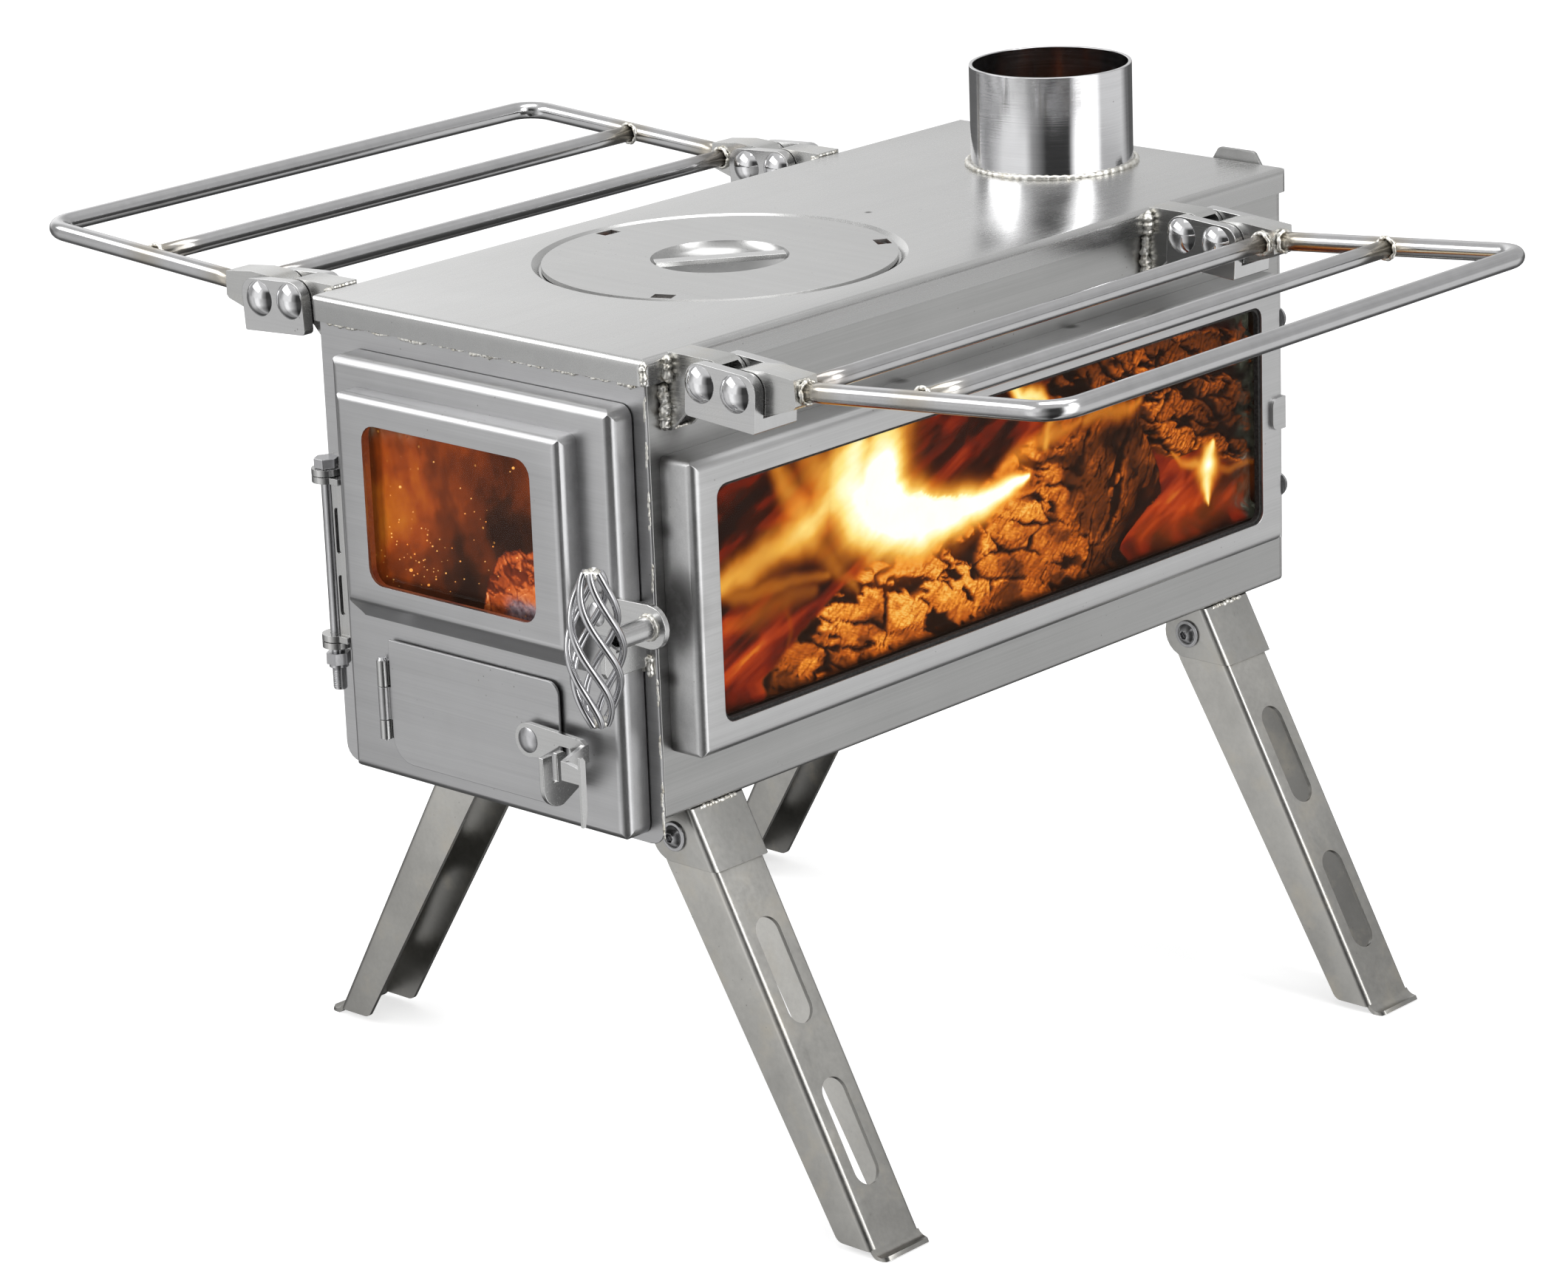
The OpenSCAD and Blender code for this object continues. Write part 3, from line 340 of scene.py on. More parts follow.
def glass_material(name, lo, hi, axis):
    """clear sheet, smoked where it meets the frame; lo and hi are the opening's corners in the sheet's plane"""
    t = Tree(name)
    s = t.sep(t.obj)
    a, b = s[axis], s[2]
    da = t.math("MINIMUM", t.math("SUBTRACT", a, lo[0]), t.math("SUBTRACT", hi[0], a))
    db = t.math("MINIMUM", t.math("SUBTRACT", b, lo[1]), t.math("SUBTRACT", hi[1], b))
    d = t.math("MINIMUM", da, db)
    cl = t.noise(t.obj, 70.0, 5.0, 0.65)
    edge = t.rng(t.math("ADD", d, t.math("MULTIPLY", t.math("SUBTRACT", cl, 0.5), 0.004)), 0.0, 0.0035, 1.0, 0.0, smooth=True)
    t.set("Base Color", (0.02, 0.012, 0.008, 1))
    t.set("Roughness", 0.06)
    t.set("IOR", 1.5)
    alpha = t.math("ADD", t.rng(cl, 0.35, 0.8, 0.03, 0.09), t.math("MULTIPLY", edge, 0.5), clamp=True)
    t.set("Alpha", alpha)
    return t.mat


gl = W(0, -200, 42.6), W(0, 182, 150.4)
M["side_glass"] = glass_material("side_window_glass_look", (gl[0].y, gl[0].z), (gl[1].y, gl[1].z), 1)
gd = W(-49, 0, 88), W(56, 0, 162)
M["door_glass"] = glass_material("door_glass_look", (gd[0].x, gd[0].z), (gd[1].x, gd[1].z), 0)


# ------------------------------------------------------------------ mesh helpers
def make(name, verts, faces, mat, body, smooth=True, slot=None, uvs=None):
    me = bpy.data.meshes.new(name)
    me.from_pydata([tuple(v) for v in verts], [], faces)
    me.update()
    if uvs is not None:
        lay = me.uv_layers.new(name="UVMap")
        for poly in me.polygons:
            for li, vi in zip(poly.loop_indices, poly.vertices):
                lay.data[li].uv = uvs[vi]
    me.materials.append(mat)
    o = bpy.data.objects.new(name, me)
    bpy.context.scene.collection.objects.link(o)
    if smooth:
        me.polygons.foreach_set("use_smooth", [True] * len(me.polygons))
    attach(o, body)
    return o


def tube_data(pts, rad, n=16, closed=False, rfun=None):
    """a swept tube through pts (Vectors in metres)"""
    verts, faces = [], []
    m = len(pts)
    prev = None
    for i, p in enumerate(pts):
        if closed:
            d = (pts[(i + 1) % m] - pts[i - 1]).normalized()
        else:
            d = (pts[min(i + 1, m - 1)] - pts[max(i - 1, 0)]).normalized()
        if prev is None:
            a = Vector((0, 0, 1)) if abs(d.z) < 0.9 else Vector((1, 0, 0))
            u = d.cross(a).normalized()
        else:
            u = (prev - d * prev.dot(d)).normalized()
        prev = u
        v = d.cross(u)
        for k in range(n):
            a = 2 * math.pi * k / n
            r = rad if rfun is None else rfun(i, a)
            verts.append(p + (u * math.cos(a) + v * math.sin(a)) * r)
    for i in range(m if closed else m - 1):
        j = (i + 1) % m
        for k in range(n):
            k2 = (k + 1) % n
            faces.append((i * n + k, i * n + k2, j * n + k2, j * n + k))
    if not closed:
        faces.append(tuple(range(n - 1, -1, -1)))
        faces.append(tuple((m - 1) * n + k for k in range(n)))
    return verts, faces


def join(parts):
    V, F = [], []
    for v, f in parts:
        b = len(V)
        V += list(v)
        F += [tuple(b + i for i in q) for q in f]
    return V, F


def flat_ends(o):
    """sharp edges where a tube's end cap meets its side"""
    bm = bmesh.new()
    bm.from_mesh(o.data)
    for e in bm.edges:
        if len(e.link_faces) == 2 and e.calc_face_angle(0) > 0.7:
            e.smooth = False
    bm.to_mesh(o.data)
    bm.free()


def refine(node, mat, width=0.35, segs=2, angle=32.0):
    """the CAD node's own shape, welded, with a small rounding on its sharp edges"""
    src = NODES[node]
    me = src.data.copy()
    me.name = node + "_look"
    o = bpy.data.objects.new(node + "_look", me)
    bpy.context.scene.collection.objects.link(o)
    bm = bmesh.new()
    bm.from_mesh(me)
    bmesh.ops.remove_doubles(bm, verts=bm.verts, dist=2e-6)
    bmesh.ops.dissolve_degenerate(bm, edges=bm.edges, dist=2e-6)
    bmesh.ops.dissolve_limit(bm, angle_limit=math.radians(0.6), verts=bm.verts, edges=bm.edges)
    for f in bm.faces:
        f.smooth = True
    lim = math.radians(angle)
    for e in bm.edges:
        e.smooth = not (len(e.link_faces) == 2 and e.calc_face_angle(0) > lim)
    bm.to_mesh(me)
    bm.free()
    if me.has_custom_normals:
        bpy.context.view_layer.objects.active = o
        with bpy.context.temp_override(object=o, active_object=o):
            bpy.ops.mesh.customdata_custom_splitnormals_clear()
    me.materials.clear()
    me.materials.append(mat)
    if width:
        b = o.modifiers.new("edge", "BEVEL")
        b.width = width / 1000.0
        b.segments = segs
        b.limit_method = "ANGLE"
        b.angle_limit = lim
        b.harden_normals = True
        b.use_clamp_overlap = True
    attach(o, BODY_OF[node])
    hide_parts(node)
    return o


def weld_bead(name, pts, r, body, pitch=2.2, flat=0.75, up=None, seed=1, wander=0.25):
    """a row of overlapping weld ripples along pts (mm, body frame)"""
    rr = random.Random(seed)
    P = [W(*p) for p in pts]
    # resample
    seg = [(P[i + 1] - P[i]).length for i in range(len(P) - 1)]
    total = sum(seg)
    n = max(6, int(total / 0.00045))
    out = []
    for i in range(n + 1):
        d = total * i / n
        k = 0
        while k < len(seg) - 1 and d > seg[k]:
            d -= seg[k]
            k += 1
        out.append(P[k].lerp(P[k + 1], min(1.0, d / max(seg[k], 1e-9))))
    ph = []
    acc = 0.0
    for i in range(n + 1):
        ph.append(acc)
        acc += (total / n) / (pitch / 1000.0) * (1 + 0.25 * math.sin(i * 0.13 + seed))
    amp = [rr.uniform(0.8, 1.15) for _ in range(int(acc) + 3)]
    off = [(rr.uniform(-1, 1), rr.uniform(-1, 1)) for _ in range(int(acc) + 3)]

    def rad(i, a):
        q = ph[i]
        f = q - math.floor(q)
        k = int(q)
        e = min(1.0, i / 5.0, (n - i) / 5.0)
        base = 0.72 + 0.34 * math.sin(math.pi * (f ** 0.7))
        w = 1 + wander * 0.5 * noise.noise(out[i] * 900 + Vector((math.cos(a), math.sin(a), seed)) * 1.5)
        return r / 1000.0 * base * amp[k] * w * (0.35 + 0.65 * math.sin(0.5 * math.pi * e))

    for i in range(len(out)):
        k = int(ph[i])
        out[i] = out[i] + Vector((off[k][0], off[k][1], off[(k + 1) % len(off)][0])) * (0.00012 * wander * 4)
    v, f = tube_data(out, r / 1000.0, 10, rfun=rad)
    return make(name, v, f, M["weld"], body, slot="weld_metal")


# ------------------------------------------------------------------ CAD nodes with their looks
look = {
    "firebox_shell": ("side", 0.5), "front_plate": ("front", 0.4), "rear_plate": ("side", 0.4), "top_plate": ("top", 0.35),
    "flue_collar": ("flue", 0.35), "side_window_frame": ("frame", 0.35), "side_glass_rails": ("iron", 0),
    "side_glass_end_cap": ("frame", 0.4), "end_cap_screws": ("bolt", 0.25), "shelf_hinge_tabs": ("lug", 0.5),
    "leg_sleeves": ("sleeve", 0.4), "leg_pivot_bolts": ("bolt", 0.3), "leg_pivot_nuts": ("bolt", 0.3),
    "door_hinge_bracket": ("hinge", 0.4), "hinge_bolt": ("bolt", 0.3), "hinge_nut": ("bolt", 0.3),
    "door_catch": ("plate", 0.4), "rear_tabs": ("side", 0.4), "fire_grate": ("iron", 0.4),
    "door_panel": ("front", 0.35), "door_window_frame": ("front", 0.35), "door_window_gasket": ("gasket_lit", 0),
    "side_window_gasket": ("gasket", 0), "door_rope_gasket": ("gasket", 0.4), "door_hinge_leaf": ("hinge", 0.4),
    "flap_keeper": ("plate", 0.35), "flap_hinge_knuckles": ("hinge", 0.25), "flap_hinge_pin": ("rivet", 0.2),
    "lever_pivot_rivet": ("rivet", 0.3), "air_flap": ("front", 0.35), "flap_latch_rivet": ("bolt", 0.3),
    "flap_latch": ("plate", 0.35), "door_lever": ("plate", 0.4), "lever_stem": ("link", 0.3),
    "hotplate_lid": ("lid", 0.12), "lid_grip_bar": ("plate", 0.3),
    "right_shelf_lugs": ("lug", 0.5), "left_shelf_lugs": ("lug", 0.5),
    "right_front_link": ("link", 0.5), "right_rear_link": ("link", 0.5), "left_front_link": ("link", 0.5), "left_rear_link": ("link", 0.5),
    "right_front_rivets": ("rivet", 0.2), "right_rear_rivets": ("rivet", 0.2), "left_front_rivets": ("rivet", 0.2), "left_rear_rivets": ("rivet", 0.2),
    "leg_front_right": ("leg", 0.45), "leg_rear_right": ("leg", 0.45), "leg_front_left": ("leg", 0.45), "leg_rear_left": ("leg", 0.45),
    "side_window_glass": ("side_glass", 0), "door_glass": ("door_glass", 0),
}
for node, (m, w) in look.items():
    refine(node, M[m], w)

# ------------------------------------------------------------------ shelf rods
HX, HZ = 128.3, 199.9
LINK, LT = 20.24, math.radians(-3.7)
OXH, OZH = HX + LINK * math.cos(LT), HZ + LINK * math.sin(LT)
ARM_F, ARM_R = -202.5, 125.0
REACH, BEND, RR = 165.8, 14.0, 4.4


def shelf_pt(side, tilt, u, y, w=0.0):
    """u along the shelf from the hinge, w above it"""
    a = math.radians(tilt)
    x = OXH + u * math.cos(a) - w * math.sin(a)
    z = OZH + u * math.sin(a) + w * math.cos(a)
    return W(side * x, y, z)


def rod_material(name, side, tilt):
    st = []
    for u, y in ((22.4, ARM_F + 13), (22.4, ARM_R - 13), (90.9, ARM_F + 7), (90.9, ARM_R - 7), (35, ARM_F), (35, ARM_R)):
        p = shelf_pt(side, tilt, u, y)
        q = (p.x * 1000, p.y * 1000 - OY, p.z * 1000 - OZ)
        st.append((q, 3, 20, (1, 0.7, 1), STRAW if u > 30 else BROWN, 0.55))
    return shiny(name, (0.56, 0.56, 0.565), 0.17, 0.15, colour_spots=st, streak="y")


for side, nm, tilt in ((1, "right", 5.1), (-1, "left", 3.2)):
    mt = rod_material(nm + "_rod_look", side, tilt)
    path = [(26, ARM_F)]
    path += [(u, ARM_F) for u in (40, 80, 120, REACH - BEND)]
    path += [(REACH - BEND + BEND * math.sin(a), ARM_F + BEND - BEND * math.cos(a)) for a in [math.radians(9 * i) for i in range(1, 10)]]
    path += [(REACH, ARM_F + BEND)] + [(REACH, y) for y in (-150, -100, -40, 20, 70)] + [(REACH, ARM_R - BEND)]
    path += [(REACH - BEND + BEND * math.cos(a), ARM_R - BEND + BEND * math.sin(a)) for a in [math.radians(9 * i) for i in range(1, 11)]]
    path += [(u, ARM_R) for u in (120, 80, 40)] + [(26, ARM_R)]
    pts = [shelf_pt(side, tilt, u, y) for u, y in path]
    pts = [p for i, p in enumerate(pts) if i == 0 or (p - pts[i - 1]).length > 1e-5]
    v, f = tube_data(pts, RR / 1000, 28)
    o = make(nm + "_shelf_frame_look", v, f, mt, nm + "_shelf", slot="steel_polished")
    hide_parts(nm + "_shelf_frame")
    parts = []
    for u, y0, y1 in ((90.9, ARM_F + 4.2, ARM_R - 4.2), (22.4, ARM_F + 7.3, ARM_R - 7.3)):
        pts = [shelf_pt(side, tilt, u, y0 + (y1 - y0) * i / 12) for i in range(13)]
        parts.append(tube_data(pts, (RR - 0.3) / 1000, 28))
    v, f = join(parts)
    o = make(nm + "_shelf_cross_rods_look", v, f, mt, nm + "_shelf", slot="steel_polished")
    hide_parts(nm + "_shelf_cross_rods")
    # small weld collars where the rods meet
    parts = []
    for k, (u, y, du, dy) in enumerate(((90.9, ARM_F + 3.4, 0, 1), (90.9, ARM_R - 3.4, 0, -1), (22.4, ARM_F + 7.6, 0, 1), (22.4, ARM_R - 7.6, 0, -1),
                                        (29.7, ARM_F, 1, 0), (29.7, ARM_R, 1, 0))):
        ring = []
        nn = 60
        for i in range(nn):
            a = 2 * math.pi * i / nn
            rr_ = RR + 0.4
            if dy:
                ring.append(shelf_pt(side, tilt, u + rr_ * math.cos(a), y + dy * (0.6 + 0.3 * math.sin(7 * a + k)), rr_ * math.sin(a)))
            else:
                ring.append(shelf_pt(side, tilt, u + 0.6 + 0.4 * math.sin(5 * a + k), y + rr_ * math.cos(a), rr_ * math.sin(a)))
        parts.append(tube_data(ring, 0.001, 8, closed=True, rfun=lambda i, a, k=k: 0.0011 * (0.75 + 0.35 * abs(math.sin(i * 0.55 + k)))))
    v, f = join(parts)
    make(nm + "_shelf_welds", v, f, M["weld"], nm + "_shelf", slot="weld_metal")

# ------------------------------------------------------------------ twisted wire handle
SX, LZ = 117.0, 96.7
CX, CY, CZ, CH = SX + 1.4, -275.2, LZ - 0.5, 67.0
TW = math.radians(210)


def cage_r(s):
    return 3.5 + 8.3 * max(0.0, math.sin(math.pi * s)) ** 0.85


parts = []
for k in range(6):
    pts = []
    n = 64
    for i in range(n + 1):
        s = i / n
        a = 2 * math.pi * k / 6 + TW * (1 - s)
        pts.append(W(CX + cage_r(s) * math.cos(a), CY + cage_r(s) * math.sin(a), CZ + CH * (s - 0.5)))
    parts.append(tube_data(pts, 0.00165, 14))
v, f = join(parts)
o = make("handle_cage_look", v, f, M["cage"], "lever", slot="steel_polished")
flat_ends(o)
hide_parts("handle_cage")
# the weld that binds each end of the bundle
parts = []
for s in (0.012, 0.988):
    z = CZ + CH * (s - 0.5)
    ring = [W(CX + 2.2 * math.cos(a), CY + 2.2 * math.sin(a), z) for a in [2 * math.pi * i / 24 for i in range(24)]]
    parts.append(tube_data(ring, 0.0022, 10, closed=True, rfun=lambda i, a: 0.0021 + 0.00025 * math.sin(i * 1.7 + a * 2)))
v, f = join(parts)
make("handle_cage_end_welds", v, f, M["weld"], "lever", slot="weld_metal")

# ------------------------------------------------------------------ weld beads
for i, (s, y) in enumerate(((1, ARM_F), (-1, ARM_F), (1, ARM_R), (-1, ARM_R))):
    weld_bead("tab_bead_a_%d" % i, [(s * 103.3, y - 9.2, 175.2), (s * 103.6, y - 9.4, 186), (s * 103.3, y - 9.1, 196.4)], 2.5, "stove", 3.1, seed=11 + i, wander=0.9)
    weld_bead("tab_bead_b_%d" % i, [(s * 105.9, y - 9.2, 196.2), (s * 106.1, y - 9.4, 208.4)], 2.4, "stove", 3.0, seed=21 + i, wander=0.9)
    weld_bead("tab_bead_low_%d" % i, [(s * 102.4, y - 7, 174.8), (s * 102.4, y + 7, 174.8)], 1.0, "stove", 2.0, seed=31 + i)
    weld_bead("tab_bead_top_%d" % i, [(s * 104.7, y - 7, 208.4), (s * 104.7, y + 7, 208.4)], 0.8, "stove", 2.0, seed=51 + i)
v, f = [], []
ring = [W(41.4 * math.cos(a), 172.6 + 41.4 * math.sin(a), 209.3) for a in [2 * math.pi * i / 300 for i in range(300)]]
v, f = tube_data(ring, 0.0011, 8, closed=True, rfun=lambda i, a: 0.0014 * (0.72 + 0.30 * abs(math.sin(i * 0.61 + 0.3 * math.sin(i * 0.37))) + 0.16 * math.sin(i * 0.11)))
o = make("flue_weld_bead_look", v, f, M["weld"], "stove", slot="weld_metal")
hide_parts("flue_weld_bead")
for i, (x0, x1, r_) in enumerate(((-96, -71, 1.0), (-70, -52, 0.7), (-50, -31, 1.2), (-29, -6, 0.8), (-4, 16, 1.3), (18, 44, 0.8), (46, 63, 1.2), (65, 84, 0.8), (86, 99, 1.5))):
    weld_bead("flange_stitch_%d" % i, [(x0, -222.8, 196.5), (0.5 * (x0 + x1), -223.0, 196.2), (x1, -222.8, 196.5)], r_, "stove", 2.3, seed=70 + i, wander=0.9)
for i, (z0, z1) in enumerate(((-9, 18), (28, 40), (52, 66), (104, 118), (132, 150), (160, 172), (180, 192))):
    weld_bead("corner_seam_%d" % i, [(101.2, -221.7, z0), (101.2, -221.7, z1)], 0.6, "stove", 2.4, seed=90 + i, wander=0.6)
for i, (x, z) in enumerate(((98.9, 70.5), (98.9, 92))):
    weld_bead("catch_bead_%d" % i, [(x, -222.8, z - 4.5), (x, -222.8, z + 5)], 1.7, "stove", 2.6, seed=110 + i, wander=0.7)
weld_bead("corner_lump", [(103.6, -224.2, 196.6), (104.2, -224.9, 200), (104.0, -224.9, 204.5), (103.2, -224.0, 208.0)], 1.7, "stove", 3.4, seed=301, wander=1.0)
o = make("weld_beads_look", *tube_data([W(94.6, -222.6, 68), W(94.6, -222.6, 90)], 0.0009, 8), M["weld"], "stove", slot="weld_metal")
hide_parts("weld_beads")
for i, z in enumerate((125, 90, 60)):
    weld_bead("hinge_tack_%d" % i, [(-81.3, -231.4, z - 3), (-81.3, -231.4, z + 3)], 0.9, "door", 2.0, seed=130 + i)
parts = []
for k in range(11):
    z = 27.2 + k * 0.92
    parts.append(tube_data([W(-92 + 3.0 * math.cos(a), -232 + 3.0 * math.sin(a), z + 0.92 * i / 26) for i, a in enumerate([2 * math.pi * i / 26 for i in range(26)])], 0.00033, 6, closed=False))
v, f = join(parts)
make("hinge_bolt_thread", v, f, M["bolt"], "stove", slot="steel_polished")
ring = [W(SX + 5.2 * math.cos(a), -241.9, LZ + 5.2 * math.sin(a)) for a in [2 * math.pi * i / 60 for i in range(60)]]
v, f = tube_data(ring, 0.0009, 8, closed=True, rfun=lambda i, a: 0.0009 * (0.8 + 0.4 * abs(math.sin(i * 0.6))))
make("stem_root_weld", v, f, M["weld"], "lever", slot="weld_metal")
for i, (s, y) in enumerate(((1, -187), (1, 177.5), (-1, -129), (-1, 139))):
    weld_bead("sleeve_weld_%d" % i, [(s * 101.1, y - 12, -0.5), (s * 101.1, y + 12, -0.5)], 1.0, "stove", 2.2, seed=150 + i, wander=0.6)


# ------------------------------------------------------------------ the fire
def vnoise(x, y, seed):
    """smooth value noise on a unit grid, 0 to 1"""
    xi, yi = np.floor(x).astype(np.int64), np.floor(y).astype(np.int64)
    fx, fy = x - xi, y - yi
    fx, fy = fx * fx * fx * (fx * (fx * 6 - 15) + 10), fy * fy * fy * (fy * (fy * 6 - 15) + 10)

    def h(a, b):
        n_ = (a * 374761393 + b * 668265263 + seed * 1274126177) & 0xFFFFFFFF
        n_ = ((n_ ^ (n_ >> 13)) * 1274126177) & 0xFFFFFFFF
        return ((n_ ^ (n_ >> 16)) & 0xFFFF) / 65535.0

    a, b, c, d = h(xi, yi), h(xi + 1, yi), h(xi, yi + 1), h(xi + 1, yi + 1)
    return (a * (1 - fx) + b * fx) * (1 - fy) + (c * (1 - fx) + d * fx) * fy


def fbm(x, y, seed, octs=4, gain=0.5):
    s, amp, tot = 0.0, 1.0, 0.0
    for k in range(octs):
        s = s + amp * vnoise(x * 2 ** k + 17.3 * k, y * 2 ** k + 9.1 * k, seed + k)
        tot += amp
        amp *= gain
    return s / tot


def cells(x, y, seed, jit=0.9):
    """nearest and second nearest cell distance, and the nearest cell's own number"""
    xi, yi = np.floor(x).astype(np.int64), np.floor(y).astype(np.int64)
    f1 = np.full(x.shape, 9.0)
    f2 = np.full(x.shape, 9.0)
    idn = np.zeros(x.shape)

    def h(a, b, s):
        n_ = (a * 73856093 ^ b * 19349663 ^ (seed + s) * 83492791) & 0xFFFFFFFF
        n_ = ((n_ ^ (n_ >> 13)) * 1274126177) & 0xFFFFFFFF
        return ((n_ ^ (n_ >> 16)) & 0xFFFF) / 65535.0

    for i in (-1, 0, 1):
        for j in (-1, 0, 1):
            a, b = xi + i, yi + j
            px = a + 0.5 + jit * (h(a, b, 1) - 0.5)
            py = b + 0.5 + jit * (h(a, b, 2) - 0.5)
            d = np.hypot(x - px, y - py)
            near = d < f1
            f2 = np.where(near, f1, np.minimum(f2, d))
            idn = np.where(near, h(a, b, 3), idn)
            f1 = np.where(near, d, f1)
    return f1, f2, idn


def sst(a, b, x):
    q = np.clip((x - a) / (b - a), 0, 1)
    return q * q * (3 - 2 * q)


def blob(x, y, cx, cy, rx, ry=None):
    ry = ry or rx
    return np.exp(-((x - cx) / rx) ** 2 - ((y - cy) / ry) ** 2)


def lick(Y, Z, pts, soft=1.0):
    """a tapering flame through pts (y, z, half width): 1 at its heart, falling softly away"""
    best = np.zeros(Y.shape)
    for (y0, z0, r0), (y1, z1, r1) in zip(pts, pts[1:]):
        dy, dz = y1 - y0, z1 - z0
        t_ = np.clip(((Y - y0) * dy + (Z - z0) * dz) / (dy * dy + dz * dz), 0, 1)
        d = np.hypot(Y - y0 - t_ * dy, Z - z0 - t_ * dz)
        r = (r0 + (r1 - r0) * t_) * soft
        best = np.maximum(best, np.exp(-(d / np.maximum(r, 0.4)) ** 2 * 1.1))
    return best


def sheet(name, mat, body, ax, u, v, height, data, keep=None):
    """a relief over (u, v); ax 'x': u runs along Y and the relief along X; ax 'y': u runs along X, relief along -Y"""
    nu, nv = len(u), len(v)
    U, V_ = np.meshgrid(u, v, indexing="ij")
    if ax == "x":
        P = np.stack([height, U + OY, V_ + OZ], -1) / 1000.0
    else:
        P = np.stack([U, height + OY, V_ + OZ], -1) / 1000.0
    idx = np.arange(nu * nv).reshape(nu, nv)
    a, b, c, d = idx[:-1, :-1], idx[1:, :-1], idx[1:, 1:], idx[:-1, 1:]
    F = np.stack([a, b, c, d], -1).reshape(-1, 4)
    P = P.reshape(-1, 3)
    dat = {k: q.reshape(-1) for k, q in data.items()}
    if keep is not None:
        kk = keep.reshape(-1)
        F = F[kk[F].any(axis=1)]
        used = np.unique(F)
        new = np.full(nu * nv, -1)
        new[used] = np.arange(len(used))
        F, P = new[F], P[used]
        dat = {k: q[used] for k, q in dat.items()}
    me = bpy.data.meshes.new(name)
    me.from_pydata(P.tolist(), [], F.tolist())
    me.update()
    for k, q in dat.items():
        at = me.attributes.new(k, "FLOAT", "POINT")
        at.data.foreach_set("value", q.astype(np.float32))
    me.polygons.foreach_set("use_smooth", [True] * len(me.polygons))
    me.materials.append(mat)
    o_ = bpy.data.objects.new(name, me)
    bpy.context.scene.collection.objects.link(o_)
    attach(o_, body)
    return o_


def attr(t, name):
    n_ = t.nt.nodes.new("ShaderNodeAttribute")
    n_.attribute_name = name
    return n_.outputs["Fac"]


EMBER_LOG = [(0.0, (0.002, 0.001, 0.0008)), (0.14, (0.022, 0.006, 0.002)), (0.32, (0.16, 0.034, 0.005)), (0.52, (0.50, 0.100, 0.008)), (0.72, (0.80, 0.235, 0.020)), (0.88, (0.98, 0.40, 0.045)), (1.0, (1.0, 0.56, 0.12))]
EMBER_AIR = [(0.0, (0.006, 0.003, 0.003)), (0.2, (0.035, 0.006, 0.003)), (0.42, (0.19, 0.013, 0.004)), (0.66, (0.50, 0.052, 0.007)), (0.86, (0.85, 0.26, 0.02)), (1.0, (1.0, 0.52, 0.09))]


def fire_scene_material(name, grain_rot):
    t = Tree(name)
    glow, kind = attr(t, "glow"), attr(t, "kind")
    v = t.mapped(t.obj, (1, 1, 1), rot=grain_rot)
    g1 = t.noise(t.mapped(v, (300, 260, 1500)), 1.0, 3.0, 0.6)
    g2 = t.noise(t.obj, 520.0, 3.0, 0.6)
    grain = t.math("ADD", t.math("MULTIPLY", t.math("SUBTRACT", g1, 0.5), 0.9), t.math("MULTIPLY", t.math("SUBTRACT", g2, 0.5), 0.55))
    lg = t.math("MULTIPLY", glow, t.math("ADD", 1.0, grain))
    soft = t.math("MULTIPLY", glow, t.math("ADD", 1.0, t.math("MULTIPLY", grain, 0.12)))
    col = t.mix(kind, t.ramp(soft, EMBER_AIR), t.ramp(lg, EMBER_LOG))
    sm = attr(t, "soot")
    sn = t.noise(t.obj, 160.0, 4.0, 0.7)
    col = t.mix(sm, col, t.ramp(sn, [(0.40, (0.008, 0.008, 0.007)), (0.62, (0.05, 0.055, 0.04)), (0.75, (0.20, 0.21, 0.17))]))
    t.set("Base Color", (0.01, 0.006, 0.004, 1))
    t.set("Roughness", 0.9)
    t.set("Specular IOR Level", 0.0)
    t.set("Emission Color", col)
    t.set("Emission Strength", 1.0)
    return t.mat


